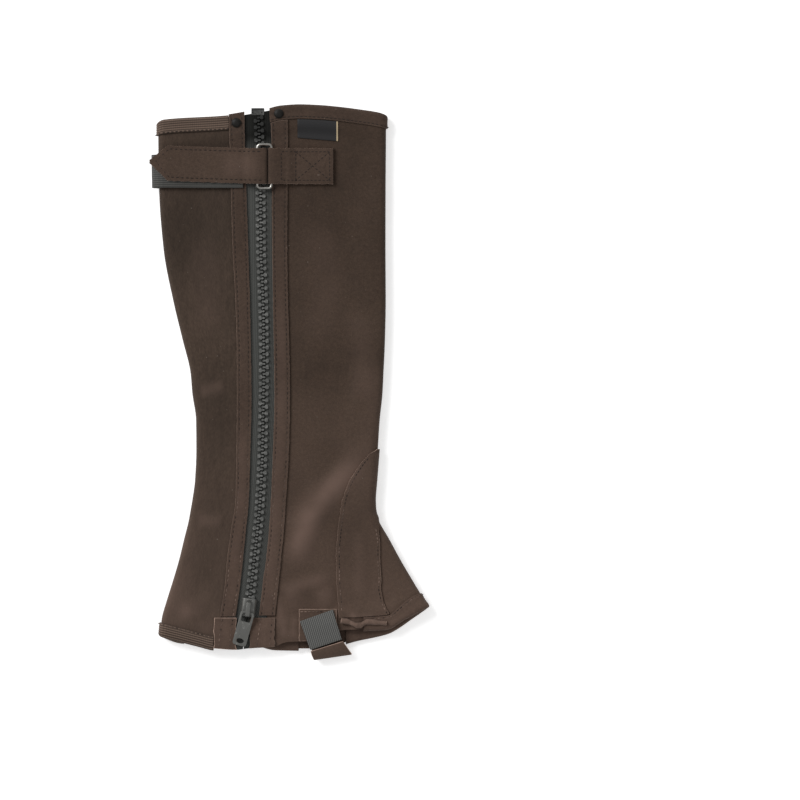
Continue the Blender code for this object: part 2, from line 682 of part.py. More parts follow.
def prism(name, finish, outline, axis, start, end):
    """An outline of two coordinates, carried along the x or the y axis, in mm."""
    bm = bmesh.new()
    ends = []
    for value in (start, end):
        ring = [(value, a, b) if axis == "x" else (a, value, b) for a, b in outline]
        ends.append([bm.verts.new([v * MM for v in point]) for point in ring])
    bm.faces.new(ends[0])
    bm.faces.new(ends[1][::-1])
    count = len(outline)
    for i in range(count):
        j = (i + 1) % count
        bm.faces.new([ends[0][i], ends[0][j], ends[1][j], ends[1][i]])
    return object_from(bm, name, finish)


def hide_tool(obj):
    """Moves a shape that only cuts or joins out of the part."""
    home = bpy.data.collections.get("tools") or bpy.data.collections.new("tools")
    if home.name not in bpy.context.scene.collection.children:
        bpy.context.scene.collection.children.link(home)
    bpy.data.collections[NAME].objects.unlink(obj)
    home.objects.link(obj)
    obj.hide_render = True
    obj.display_type = "WIRE"


def make_slider():
    """The slider: two plates either side of the tapes, and the arch that holds the pull's bar."""
    floor, long = SLIDER["floor"], SLIDER["half"]
    right = [(row["half"], floor + row["z"]) for row in PLATES]
    left = [(-row["half"], floor + row["z"]) for row in reversed(PLATES)]
    body = prism("zip_slider", "dark_metal", right + left, "y", -long, long)
    roof = floor + PLATES[-1]["z"]
    under = PULL["z"] + PULL["thick"] / 2 + CROWN["clear"]
    top = under + CROWN["over"]
    sunk, lean = CROWN["sunk"], CROWN["lean"]
    outline = [(-long, roof - sunk), (long - sunk, roof - sunk), (long - sunk, roof)]
    outline += [(long - lean, top), (sunk - long, top), (-long, top - sunk)]
    half = CROWN["wide"] / 2
    crown = prism("crown", "dark_metal", outline, "x", -half, half)
    far, near = CROWN["far"], CROWN["near"]
    eye_outline = [(far, roof), (near, roof), (near - CROWN["eye"], under), (far, under)]
    past = half + CROWN["eye"]
    eye = prism("crown_eye", "dark_metal", eye_outline, "x", -past, past)
    for obj in (body, crown, eye):
        obj.location = (read(LEG, "zip", SLIDER["y"]) * MM, SLIDER["y"] * MM, 0)
        obj.rotation_euler = (0, 0, math.radians(SLIDER["turn"]))
    cut = crown.modifiers.new("eye", "BOOLEAN")
    cut.operation, cut.object = "DIFFERENCE", eye
    join = body.modifiers.new("crown", "BOOLEAN")
    join.operation, join.object = "UNION", crown
    hide_tool(crown)
    hide_tool(eye)


def rounded(half_wide, low, high, radius, steps=4):
    """The outline of a rectangle with rounded corners."""
    corners = [
        (half_wide - radius, high - radius, 0), (radius - half_wide, high - radius, 90),
        (radius - half_wide, low + radius, 180), (half_wide - radius, low + radius, 270),
    ]
    points = []
    for x, y, start in corners:
        for i in range(steps + 1):
            turn = math.radians(start + 90 * i / steps)
            points.append((x + radius * math.cos(turn), y + radius * math.sin(turn)))
    return points


def flat_plate(name, finish, outlines, thick):
    """A plate from flat outlines, the first its edge and the others its holes."""
    curve = bpy.data.curves.new(name, "CURVE")
    curve.dimensions = "2D"
    curve.fill_mode = "BOTH"
    curve.extrude = thick / 2 * MM
    for outline in outlines:
        spline = curve.splines.new("POLY")
        spline.points.add(len(outline) - 1)
        for point, (x, y) in zip(spline.points, outline):
            point.co = (x * MM, y * MM, 0, 1)
        spline.use_cyclic_u = True
    return finish_object(bpy.data.objects.new(name, curve), name, finish)


def make_pull():
    """The pull: a plate with a bar that turns in the slider's arch; its origin is on that axis."""
    bar = PULL["thick"] / 2
    plate = rounded(PULL["wide"] / 2, bar - PULL["long"], bar, 2.0)
    slot = rounded(PULL_SLOT["wide"] / 2, -bar - PULL_SLOT["long"], -bar, 1.0, 2)
    hole = [
        (PULL_HOLE["long"] * math.cos(turn), PULL_HOLE["y"] + PULL_HOLE["tall"] * math.sin(turn))
        for turn in (2 * math.pi * i / 16 for i in range(16))
    ]
    pull = flat_plate("zip_pull", "dark_metal", [plate, slot, hole], PULL["thick"])
    pull.location = (read(LEG, "zip", PULL["y"]) * MM, PULL["y"] * MM, PULL["z"] * MM)
    pull.rotation_euler = (0, 0, math.radians(PULL["turn"]))


def make_snaps():
    """The two caps at the top of the facings: turned domes."""
    for snap in SNAPS:
        bm = bmesh.new()
        points = [bm.verts.new((row["r"] * MM, 0, row["z"] * MM)) for row in SNAP_PROFILE]
        for a, b in zip(points, points[1:]):
            bm.edges.new((a, b))
        mesh = bpy.data.meshes.new(snap["name"])
        bm.to_mesh(mesh)
        bm.free()
        cap = finish_object(bpy.data.objects.new(snap["name"], mesh), snap["name"], "dark_metal")
        turned = cap.modifiers.new("turn", "SCREW")
        turned.steps = turned.render_steps = 20
        turned.use_merge_vertices = True
        turned.merge_threshold = 0.00001
        lift = upper_z(snap["x"], snap["y"]) + snap["on"] + GAP
        cap.location = (snap["x"] * MM, snap["y"] * MM, lift * MM)


def ribbon(name, finish, path, edges, thick, across=2):
    """A strap: path(t) gives x and z for a share t across it, edges(x) its low and high y."""
    lower, upper = [], []
    lines = [path(i / across) for i in range(across + 1)]
    for k in range(len(lines[0])):
        low_row, high_row = [], []
        for i, line in enumerate(lines):
            x, z = line[k]
            ax, az = line[max(0, k - 1)]
            bx, bz = line[min(len(line) - 1, k + 1)]
            long = math.hypot(bx - ax, bz - az)
            nx, nz = -(bz - az) / long, (bx - ax) / long
            low, high = edges(x)
            y = low + (high - low) * i / across
            low_row.append((x - nx * thick / 2, y, z - nz * thick / 2))
            high_row.append((x + nx * thick / 2, y, z + nz * thick / 2))
        lower.append(low_row)
        upper.append(high_row)
    return shell(name, finish, lower, upper)


def half_turn(x, z, radius, start, end, steps=6):
    turns = [math.radians(start + (end - start) * i / steps) for i in range(steps + 1)]
    return [(x + radius * math.cos(turn), z + radius * math.sin(turn)) for turn in turns]


def make_strap():
    """The elastic round the back, the pointed tab on it, the ring and the anchor in front."""

    def lift(s):
        return ON_WALL[0] + (ON_FACING[0] - ON_WALL[0]) * smooth((s + ARC) / (2 * ARC))

    columns = between("back", straight(ELASTIC["end"]), crest("back"), 8) + round_fold()
    columns += between("back", crest("back"), column("strip", add=-GAP), 2, side=-1)
    depth = (lift, lambda s: lift(s) + LAYER)
    cloth("strap_elastic", "webbing", "back", columns, depth, ELASTIC["low"], ELASTIC["high"])
    z = RING["z"]
    over = ON_FACING[1] + GAP + STRAP_THICK / 2

    def tab_edges(x):
        return read(TAB_EDGE, "low", x, "x"), read(TAB_EDGE, "high", x, "x")

    def tab_path(t):
        line = []
        for x in TAB_PLACES:
            low, high = tab_edges(x)
            y = low + (high - low) * t
            middle = fold_middle("back", y)
            past = max(0.0, middle - x)
            line.append((x, upper_z(max(x, middle), y) + over - TAB["droop"] * past))
        line += [(row["x"], z + row["up"]) for row in TAB_BEND]
        line += half_turn(TAB["apex"], z, LOOP_R, 90, -90)
        return line + [(TAB["back"], z - LOOP_R)]

    ribbon("strap_tab", "grained_hide", tab_path, tab_edges, STRAP_THICK)

    def anchor_path(t):
        y = ANCHOR["low"] + (ANCHOR["high"] - ANCHOR["low"]) * t
        on_wall = ON_WALL[0] + STRAP_THICK / 2
        apart = STRAP_THICK + GAP
        under = [(x, upper_z(x, y) + on_wall) for x in ANCHOR_UNDER]
        under += [(row["x"], z + row["up"]) for row in ANCHOR_STEP]
        above = [(row["x"], z + row["up"]) for row in ANCHOR_BEND]
        above += [(x, upper_z(x, y) + on_wall + apart) for x in ANCHOR_OVER]
        return under + half_turn(RING["right"], z, LOOP_R, 270, 90) + above

    def anchor_edges(x):
        return ANCHOR["low"], ANCHOR["high"]

    ribbon("strap_anchor", "grained_hide", anchor_path, anchor_edges, STRAP_THICK)
    make_ring()


def make_ring():
    curve = bpy.data.curves.new("ring", "CURVE")
    curve.dimensions = "3D"
    curve.bevel_depth = RING["wire"] * MM
    curve.bevel_resolution = 2
    half = (RING["right"] - RING["left"]) / 2
    outline = rounded(half, RING["low"], RING["high"], RING["corner"])
    spline = curve.splines.new("POLY")
    spline.points.add(len(outline) - 1)
    for point, (x, y) in zip(spline.points, outline):
        point.co = ((x + RING["left"] + half) * MM, y * MM, RING["z"] * MM, 1)
    spline.use_cyclic_u = True
    finish_object(bpy.data.objects.new("ring", curve), "ring", "dark_metal")


def make_label():
    def rows(run):
        top = rim_y("front", run, TOP_OUTER, TOP_INNER)
        return [top - LABEL["top"], *(top - far for far in RIM_ROWS[1:]), LABEL["low"]]

    columns = between("front", straight(LABEL["left"]), straight(LABEL["right"]), 4)
    depth = (ON_WALL[0], ON_WALL[0] + LABEL["thick"])
    cloth("label", "label_cloth", "front", columns, depth, rows=rows)


def foot_row(row):
    """The two edge points of the foot strap's middle at one row of its table."""
    points = []
    for x, y in (row["left"], row["right"]):
        z = upper_z(x, y) + FOOT_LIFT if row["z"] is None else row["z"]
        points.append((x, y, z))
    return points


def make_foot_strap():
    """The elastic under the foot, its sleeve, and the patches that it is sewn to."""
    rows = [foot_row(row) for row in FOOT]
    grids = ([], [])
    for k in range(len(rows)):
        before, after = rows[max(0, k - 1)], rows[min(len(rows) - 1, k + 1)]
        for layer, side in enumerate((-1, 1)):
            line = []
            for t in (0.0, 0.33, 0.67, 1.0):
                here, back, on = (
                    [a + (b - a) * t for a, b in zip(*pair)] for pair in (rows[k], before, after)
                )
                dy, dz = on[1] - back[1], on[2] - back[2]
                long = math.hypot(dy, dz)
                push = side * STRAP_THICK / 2 / long
                line.append((here[0], here[1] + dz * push, here[2] - dy * push))
            grids[layer].append(line)
    cut = FOOT_SPLIT + 1
    shell("foot_elastic", "webbing", grids[0][:cut], grids[1][:cut])
    sleeve = []
    for grid in grids:
        first = [
            tuple(a + (b - a) * FOOT_GAP for a, b in zip(p, q))
            for p, q in zip(grid[FOOT_SPLIT], grid[FOOT_SPLIT + 1])
        ]
        sleeve.append([first, *grid[cut:]])
    shell("foot_sleeve", "grained_hide", *sleeve)

    def outer_rows(run):
        end = rim_y("front", run, LOW_OUTER, LOW_INNER)
        return [PATCH["high"], end + RIM_ROWS[2], end + RIM_ROWS[1], end + GAP]

    columns = between("front", straight(PATCH["left"]), straight(PATCH["right"]), 4)
    cloth("patch_outer", "grained_hide", "front", columns, ON_WALL, rows=outer_rows)
    ends = (straight(PATCH["inner_left"]), straight(PATCH["inner_right"]))
    columns = between("front", *ends, 2, side=-1)

    def inner_rows(run):
        return [PATCH["inner_high"], FOOT[-1]["left"][1] + GAP]

    cloth("patch_inner", "grained_hide", "front", columns, ON_WALL, rows=inner_rows)


def main():
    for obj in list(bpy.data.objects):
        bpy.data.objects.remove(obj, do_unlink=True)
    home = bpy.data.collections.new(NAME)
    bpy.context.scene.collection.children.link(home)
    make_rear_panel()
    make_front_panel()
    make_ankle_overlay()
    make_gusset()
    make_bands()
    make_bindings()
    make_zip()
    make_snaps()
    make_strap()
    make_label()
    make_foot_strap()


main()
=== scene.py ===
# %% [markdown]
# # A half chap, laid flat
#
# A half chap is a legging of suede-like hide and stretch cloth that a rider zips round the calf.
# This one lies on a table with its outer side up, so it is a flattened tube: two layers of cloth
# that meet in a round fold at the shin and another at the calf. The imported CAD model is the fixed
# frame, in metres, and every piece of cloth here is sewn finer over the solid that it stands for.

# %% Load the frame
import math

import bmesh
import bpy
import numpy as np
from mathutils import Matrix, Vector


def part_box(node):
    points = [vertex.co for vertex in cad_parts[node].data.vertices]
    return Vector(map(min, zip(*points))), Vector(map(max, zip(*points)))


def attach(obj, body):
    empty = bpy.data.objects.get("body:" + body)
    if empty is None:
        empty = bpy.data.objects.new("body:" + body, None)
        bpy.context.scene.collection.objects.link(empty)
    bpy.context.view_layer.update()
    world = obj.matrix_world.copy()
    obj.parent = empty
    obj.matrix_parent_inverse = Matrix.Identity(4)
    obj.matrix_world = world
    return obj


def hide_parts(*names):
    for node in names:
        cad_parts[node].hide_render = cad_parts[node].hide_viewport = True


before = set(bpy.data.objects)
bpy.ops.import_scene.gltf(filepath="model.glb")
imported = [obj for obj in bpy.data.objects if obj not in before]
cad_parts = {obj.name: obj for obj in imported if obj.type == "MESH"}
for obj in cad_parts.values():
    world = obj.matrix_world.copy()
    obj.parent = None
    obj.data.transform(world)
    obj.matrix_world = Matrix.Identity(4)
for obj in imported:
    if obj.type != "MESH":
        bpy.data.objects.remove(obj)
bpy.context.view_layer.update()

# %% [markdown]
# ## Camera, floor and light
#
# The photograph looks straight down on a white ground, so the camera hangs high above the leg
# with a long lens. That keeps the sides parallel. One large soft light from the upper left and a
# pale world leave only faint shadows, which is how clothes are lit for a catalogue. The Standard
# view is chosen because it keeps a white ground white.

# %% Camera
CAMERA_AT = (0.0817, -0.0129, 3.0)
FRAME_WIDTH, FRAME_Z = 0.608, 0.008
SENSOR = 36.0

camera_data = bpy.data.cameras.new("camera")
camera_data.sensor_width = SENSOR
camera_data.lens = SENSOR * (CAMERA_AT[2] - FRAME_Z) / FRAME_WIDTH
camera = bpy.data.objects.new("camera", camera_data)
camera.location = CAMERA_AT
bpy.context.scene.collection.objects.link(camera)
bpy.context.scene.camera = camera
print("lens of", round(camera_data.lens, 1), "mm")


# %% Nodes for a material
class Shades:
    """A material's node tree, with a short way to add a node and feed its inputs."""

    def __init__(self, name):
        self.made = bpy.data.materials.new(name)
        self.made.use_nodes = True
        self.tree = self.made.node_tree
        self.shader = self.tree.nodes["Principled BSDF"]
        self.object = self.node("ShaderNodeTexCoord").outputs["Object"]

    def node(self, kind, settings=None, **inputs):
        node = self.tree.nodes.new(kind)
        for key, value in (settings or {}).items():
            setattr(node, key, value)
        for key, value in inputs.items():
            self.feed(node.inputs[key.replace("_", " ")], value)
        return node

    def feed(self, socket, value):
        if isinstance(value, bpy.types.NodeSocket):
            self.tree.links.new(value, socket)
        else:
            socket.default_value = value

    def noise(self, scale, detail=2.0, vector=None, roughness=0.5):
        vector = vector or self.object
        node = self.node("ShaderNodeTexNoise", Vector=vector, Scale=scale, Detail=detail)
        node.inputs["Roughness"].default_value = roughness
        return node.outputs["Fac"]

    def math(self, operation, a, b=0.0):
        node = self.tree.nodes.new("ShaderNodeMath")
        node.operation = operation
        self.feed(node.inputs[0], a)
        self.feed(node.inputs[1], b)
        return node.outputs[0]

    def between(self, value, low, high, to_low=0.0, to_high=1.0):
        node = self.node("ShaderNodeMapRange", Value=value)
        ends = {"From Min": low, "From Max": high, "To Min": to_low, "To Max": to_high}
        for key, number in ends.items():
            node.inputs[key].default_value = number
        return node.outputs["Result"]

    def mix(self, share, a, b, blend="MIX"):
        node = self.tree.nodes.new("ShaderNodeMix")
        node.data_type = "RGBA"
        node.blend_type = blend
        for socket, value in ((node.inputs[0], share), (node.inputs[6], a), (node.inputs[7], b)):
            self.feed(socket, (*value, 1) if isinstance(value, tuple) else value)
        return node.outputs[2]

    def bump(self, height, distance, strength=1.0, under=None):
        node = self.node("ShaderNodeBump", Height=height, Distance=distance, Strength=strength)
        if under:
            self.tree.links.new(under, node.inputs["Normal"])
        return node.outputs["Normal"]

    def finish(self, colour, rough, normal=None, metal=0.0, sheen=0.0, specular=0.5):
        self.feed(self.shader.inputs["Base Color"], colour)
        self.feed(self.shader.inputs["Roughness"], rough)
        self.shader.inputs["Metallic"].default_value = metal
        self.shader.inputs["Sheen Weight"].default_value = sheen
        self.shader.inputs["Sheen Roughness"].default_value = 0.6
        self.shader.inputs["Specular IOR Level"].default_value = specular
        if normal:
            self.feed(self.shader.inputs["Normal"], normal)
        return self.made


# %% Floor and lights
FLOOR_GLOW, FLOOR_SIZE, FLOOR_Z = 0.5, 3.0, -0.0002
WORLD_GLOW = 0.4


def make_floor():
    bm = bmesh.new()
    bmesh.ops.create_grid(bm, x_segments=8, y_segments=8, size=FLOOR_SIZE)
    mesh = bpy.data.meshes.new("floor")
    bm.to_mesh(mesh)
    bm.free()
    shades = Shades("floor_paper")
    paper = shades.between(shades.noise(40.0), 0.3, 0.7, 0.93, 0.96)
    colour = shades.mix(paper, (0.0, 0.0, 0.0), (1.0, 1.0, 1.0))
    shades.feed(shades.shader.inputs["Emission Color"], colour)
    shades.shader.inputs["Emission Strength"].default_value = FLOOR_GLOW
    mesh.materials.append(shades.finish(colour, 0.9, specular=0.1))
    floor = bpy.data.objects.new("floor", mesh)
    floor.location.z = FLOOR_Z
    bpy.context.scene.collection.objects.link(floor)


LIGHTS = [
    dict(name="key", at=(-1.5, 1.2, 1.5), size=1.2, power=46.0),
    dict(name="fill", at=(1.4, -1.4, 2.4), size=2.2, power=8.0),
]


def make_lights():
    for row in LIGHTS:
        data = bpy.data.lights.new(row["name"], "AREA")
        data.size = row["size"]
        data.energy = row["power"]
        light = bpy.data.objects.new(row["name"], data)
        light.location = row["at"]
        light.rotation_euler = Vector(row["at"]).to_track_quat("Z", "Y").to_euler()
        bpy.context.scene.collection.objects.link(light)
    world = bpy.data.worlds.new("studio")
    world.use_nodes = True
    background = world.node_tree.nodes["Background"]
    background.inputs["Color"].default_value = (1.0, 1.0, 1.0, 1.0)
    background.inputs["Strength"].default_value = WORLD_GLOW
    bpy.context.scene.world = world
    bpy.context.scene.view_settings.view_transform = "Standard"


make_floor()
make_lights()
print("floor and", len(LIGHTS), "lights")

# %% [markdown]
# ## The shape of the leg
#
# The pattern of the legging is a handful of edges: the calf, the shin, the zip, the facings and
# the seams. Each is a column of a table against the height, in millimetres, and a smooth curve
# runs through its rows. These are the same values that the solids were made from.

# %% Sizes
MM = 0.001
WALL, GAP, LAYER, FOLD_R = 2.6, 0.3, 1.2, 3.2
HALF = WALL / 2
SEAM = GAP / 2
ARC = math.pi * FOLD_R / 2
UNDER_Z = HALF + GAP + LAYER
FOLD_Z = UNDER_Z + FOLD_R
REST_Z = UNDER_Z + WALL + 0.4
RISE = UNDER_Z + 2 * FOLD_R - REST_Z
RISE_RUN, RIM_RISE, RIM_FLAT, RIM_RUN = 30.0, 0.66, 13.0, 8.0
RIM_GUESS = dict(top=200.0, low=-190.0)
ON_WALL = HALF + GAP + LAYER / 2
ON_FACING = ON_WALL + LAYER + GAP
OUT = dict(front=1, back=-1)

# %% Edges of the leg
LEG = [
    dict(y=215, back=-102.2, front=71.1, zip=-27.0), dict(y=195, back=-102.2, front=71.1, zip=-25.5),
    dict(y=147, back=-101.5, front=70.8, zip=-24.3), dict(y=101, back=-98.0, front=70.7, zip=-23.9),
    dict(y=63, back=-90.8, front=70.9, zip=-22.4), dict(y=33, back=-83.6, front=70.3, zip=-21.8),
    dict(y=8, back=-77.6, front=69.2, zip=-21.7), dict(y=-8, back=-76.2, front=68.4, zip=-22.0),
    dict(y=-28, back=-73.4, front=66.3, zip=-22.4), dict(y=-51, back=-73.2, front=64.8, zip=-22.8),
    dict(y=-74, back=-74.2, front=63.0, zip=-23.7), dict(y=-89, back=-76.2, front=61.9, zip=-24.7),
    dict(y=-97, back=-77.6, front=62.3, zip=-25.2), dict(y=-104, back=-78.8, front=65.0, zip=-25.8),
    dict(y=-119, back=-82.5, front=73.5, zip=-27.4), dict(y=-135, back=-86.4, front=82.2, zip=-29.3),
    dict(y=-150, back=-90.8, front=91.0, zip=-30.8), dict(y=-165, back=-95.5, front=100.0, zip=-32.7),
    dict(y=-180, back=-99.6, front=109.0, zip=-34.6), dict(y=-207, back=-102.0, front=109.0, zip=-38.0),
]
BANDS = [
    dict(y=215, far=-48.6, near=-36.6, right=-17.2, wide=-3.6, strip=-86.4, over=-56.6),
    dict(y=185, far=-47.8, near=-36.2, right=-16.0, wide=-3.6, strip=-86.4, over=-56.7),
    dict(y=101, far=-45.4, near=-33.6, right=-15.4, wide=-4.0, strip=-86.2, over=-57.3),
    dict(y=63, far=-43.4, near=-32.4, right=-14.8, wide=-3.4, strip=-82.5, over=-53.0),
    dict(y=25, far=-42.3, near=-31.6, right=-14.1, wide=-2.4, strip=-76.2, over=-47.6),
    dict(y=-13, far=-42.2, near=-31.2, right=-13.7, wide=-1.9, strip=-70.2, over=-44.5),
    dict(y=-51, far=-42.6, near=-32.0, right=-14.8, wide=-2.7, strip=-67.8, over=-40.2),
    dict(y=-89, far=-43.4, near=-33.2, right=-16.4, wide=-5.0, strip=-69.6, over=-38.6),
    dict(y=-112, far=-46.8, near=-35.4, right=-17.9, wide=-6.5, strip=-71.6, over=-39.8),
    dict(y=-135, far=-49.8, near=-37.7, right=-20.2, wide=-8.8, strip=-74.6, over=-41.7),
    dict(y=-150, far=-51.0, near=-39.3, right=-22.4, wide=-10.3, strip=-76.6, over=-43.2),
    dict(y=-165, far=-53.2, near=-41.4, right=-24.0, wide=-12.2, strip=-79.0, over=-44.6),
    dict(y=-180, far=-55.4, near=-43.6, right=-26.0, wide=-13.6, strip=-81.2, over=-46.2),
    dict(y=-207, far=-59.0, near=-46.6, right=-30.0, wide=-16.0, strip=-83.0, over=-47.6),
]

# %% Upper and lower edges of the cloth
TOP_OUTER = [
    dict(x=-104, y=194.5), dict(x=-97.7, y=198.3), dict(x=-49, y=201.6), dict(x=-36.9, y=203.6),
    dict(x=-17.9, y=207.0), dict(x=-9.5, y=209.0), dict(x=5.7, y=210.0), dict(x=20.9, y=209.4),
    dict(x=36.1, y=208.0), dict(x=51.3, y=206.0), dict(x=66.6, y=203.4), dict(x=72, y=201.0),
]
TOP_INNER = [
    dict(x=-104, y=194.5), dict(x=-97.7, y=198.3), dict(x=-40, y=201.5), dict(x=10, y=204.5),
    dict(x=66.6, y=203.4), dict(x=72, y=201.0),
]
LOW_OUTER = [
    dict(x=-102, y=-189.4), dict(x=-98.4, y=-191.5), dict(x=-85.5, y=-195.0),
    dict(x=-70.3, y=-199.0), dict(x=-60.4, y=-201.4), dict(x=-42.2, y=-202.6),
    dict(x=-33.1, y=-201.6), dict(x=-13.3, y=-200.2), dict(x=-4.9, y=-196.8),
    dict(x=24.7, y=-195.6), dict(x=36.9, y=-187.9), dict(x=55.9, y=-186.8),
    dict(x=72.6, y=-185.6), dict(x=81.7, y=-180.4), dict(x=93.1, y=-173.4), dict(x=105, y=-166.4),
]
LOW_INNER = [
    dict(x=-102, y=-189.4), dict(x=-96.9, y=-192.6), dict(x=-85.5, y=-196.4),
    dict(x=-66.5, y=-198.0), dict(x=-32.3, y=-197.4), dict(x=-13.3, y=-201.6),
    dict(x=11.0, y=-202.0), dict(x=28.5, y=-200.2), dict(x=47.5, y=-195.0),
    dict(x=72.6, y=-189.2), dict(x=81.7, y=-184.2), dict(x=93.1, y=-175.8), dict(x=105, y=-166.4),
]
ANKLE = [
    dict(y=0, outer=44.0, inner=44.0),
    dict(y=-50.2, outer=62.4, inner=62.4), dict(y=-54.0, outer=58.6, inner=56.5),
    dict(y=-60.0, outer=52.8, inner=45.2), dict(y=-67.6, outer=47.5, inner=39.0),
    dict(y=-73.7, outer=43.7, inner=36.1), dict(y=-82.8, outer=39.9, inner=32.3),
    dict(y=-91.2, outer=37.6, inner=30.8), dict(y=-102.6, outer=35.7, inner=30.1),
    dict(y=-115.5, outer=34.2, inner=31.0), dict(y=-128.4, outer=33.1, inner=32.2),
    dict(y=-149.7, outer=33.4, inner=34.6), dict(y=-168.7, outer=34.9, inner=37.6),
    dict(y=-207, outer=36.3, inner=39.2),
]
GUSSET_TOP, OVERLAY_TOP = -101.3, -50.2
GUSSET = [
    dict(y=-101.3, outer=0.0, inner=0.0), dict(y=-108.6, outer=3.1, inner=3.9),
    dict(y=-115.9, outer=6.2, inner=8.6), dict(y=-123.2, outer=9.7, inner=11.4),
    dict(y=-134.2, outer=15.6, inner=16.0), dict(y=-150, outer=23.9, inner=22.7),
    dict(y=-157, outer=28.4, inner=26.5), dict(y=-177, outer=34.3, inner=32.0),
    dict(y=-207, outer=32.6, inner=29.8),
]


# %% A smooth curve through a column
def along(table, key, by="y"):
    """A function through one column of a table that never swings past its rows."""
    rows = sorted(table, key=lambda row: row[by])
    marks = np.array([row[by] for row in rows], float)
    values = np.array([row[key] for row in rows], float)
    steps = np.diff(marks)
    slopes = np.diff(values) / steps
    inner = np.where(slopes[:-1] * slopes[1:] > 0, 2 * slopes[:-1] * slopes[1:], 0.0)
    inner = inner / np.where(inner == 0, 1.0, slopes[:-1] + slopes[1:])
    bends = np.concatenate([slopes[:1], inner, slopes[-1:]])

    def value(at):
        at = np.clip(at, marks[0], marks[-1])
        i = np.clip(np.searchsorted(marks, at, side="right") - 1, 0, len(steps) - 1)
        t = (at - marks[i]) / steps[i]
        rise = (3 - 2 * t) * t * t
        lean = bends[i] * (1 - t) - bends[i + 1] * t
        return values[i] + rise * (values[i + 1] - values[i]) + lean * t * (1 - t) * steps[i]

    return value


EDGE = {key: along(LEG, key) for key in ("back", "front", "zip")}
EDGE.update({key: along(BANDS, key) for key in ("far", "near", "right", "wide", "strip", "over")})
RIMS = dict(
    top=(along(TOP_OUTER, "y", "x"), along(TOP_INNER, "y", "x")),
    low=(along(LOW_OUTER, "y", "x"), along(LOW_INNER, "y", "x")),
)
ANKLE_EDGE = {key: along(ANKLE, key) for key in ("outer", "inner")}
GUSSET_RUN = {key: along(GUSSET, key) for key in ("outer", "inner")}
print("smooth edges:", ", ".join(EDGE))

# %% [markdown]
# ## From the flat pattern to the flattened tube
#
# A place on the cloth is a height y and a run s from the crest of a fold, more than 0 on the outer
# side and less than 0 below. One function turns such a place into a point, and every layer is
# made with it, so a facing follows each crease of the panel under it and never sinks into it.

# %% Creases of the outer side
FOLDS = [
    dict(line=[(58, -42), (43, -66), (28, -83), (13, -104), (5, -126), (1, -144)], half=14, tall=0.8),
    dict(line=[(32, -148), (6, -154), (-8, -162)], half=9, tall=0.5),
    dict(line=[(31, -157), (24, -160), (16, -164)], half=6, tall=0.4),
    dict(line=[(-72, -6), (-62, -5), (-50, -2)], half=8, tall=0.4),
    dict(line=[(-75, -104), (-62, -105), (-52, -106)], half=8, tall=0.4),
    dict(line=[(-88, -177), (-74, -171), (-58, -162)], half=10, tall=0.5),
]
CREASES = [
    dict(line=[(20, -70), (8, -92), (-2, -116)], half=9, tall=0.5),
    dict(line=[(-10, -168), (-7, -182), (-5, -196)], half=5, tall=1.7),
    dict(line=[(2, -176), (1, -186), (2, -196)], half=4.5, tall=1.4),
    dict(line=[(46, -172), (48, -182), (44, -192)], half=5, tall=1.5),
    dict(line=[(40, -176), (52, -178), (66, -176)], half=4, tall=0.8),
    dict(line=[(46, 60), (54, 20), (56, -20)], half=16, tall=0.6),
    dict(line=[(-70, 120), (-66, 70), (-62, 30)], half=18, tall=0.6),
    dict(line=[(20, 130), (26, 80), (22, 20)], half=20, tall=0.5),
    dict(line=[(50, -110), (52, -140), (50, -170)], half=7, tall=0.6),
]


def smooth(share):
    share = np.clip(share, 0.0, 1.0)
    return share * share * (3 - 2 * share)


def fold_middle(fold, y):
    return EDGE[fold](y) - OUT[fold] * (HALF + FOLD_R)


def swell(fold, x, y):
    """A soft ridge along a line: 1 on its middle, 0 past its half width and at its ends."""
    best = np.full(np.shape(x), 1e9)
    share = np.zeros(np.shape(x))
    count = len(fold["line"]) - 1
    for i in range(count):
        (ax, ay), (bx, by) = fold["line"][i], fold["line"][i + 1]
        dx, dy = bx - ax, by - ay
        t = np.clip(((x - ax) * dx + (y - ay) * dy) / (dx * dx + dy * dy), 0.0, 1.0)
        far = np.hypot(x - ax - t * dx, y - ay - t * dy)
        share = np.where(far < best, (i + t) / count, share)
        best = np.minimum(far, best)
    ends = smooth(share / 0.25) * smooth((1 - share) / 0.25)
    hump = (1 + np.cos(math.pi * best / fold["half"])) / 2
    return np.where(best < fold["half"], ends * hump, 0.0)


def upper_z(x, y):
    """The height of the middle of the upper wall."""
    left = 1 - smooth(1 - (fold_middle("front", y) - x) / RISE_RUN)
    left = left * (1 - smooth(1 - (x - fold_middle("back", y)) / RISE_RUN))
    for rim in (RIMS["top"][0](x) - y, y - RIMS["low"][0](x)):
        left = left * (1 - RIM_RISE * smooth(1 - (rim - RIM_FLAT) / RIM_RUN))
    for fold in FOLDS:
        left = left * (1 - fold["tall"] * swell(fold, x, y))
    crease = sum(row["tall"] * swell(row, x, y) for row in CREASES)
    return REST_Z + RISE * (1 - left) + crease


def place(fold, y, s, d):
    """The point at a height y, a run s from the fold's crest and d out from the wall's middle."""
    out, middle = OUT[fold], fold_middle(fold, y)
    turn = np.clip(s, -ARC, ARC) / FOLD_R
    round_x = middle + out * (FOLD_R + d) * np.cos(turn)
    x = np.where(np.abs(s) <= ARC, round_x, middle - out * (np.abs(s) - ARC))
    flat = np.where(s > 0, upper_z(x, y) + d, UNDER_Z - d)
    z = np.where(np.abs(s) <= ARC, FOLD_Z + (FOLD_R + d) * np.sin(turn), flat)
    return np.stack([x, y + 0 * x, z], axis=-1)


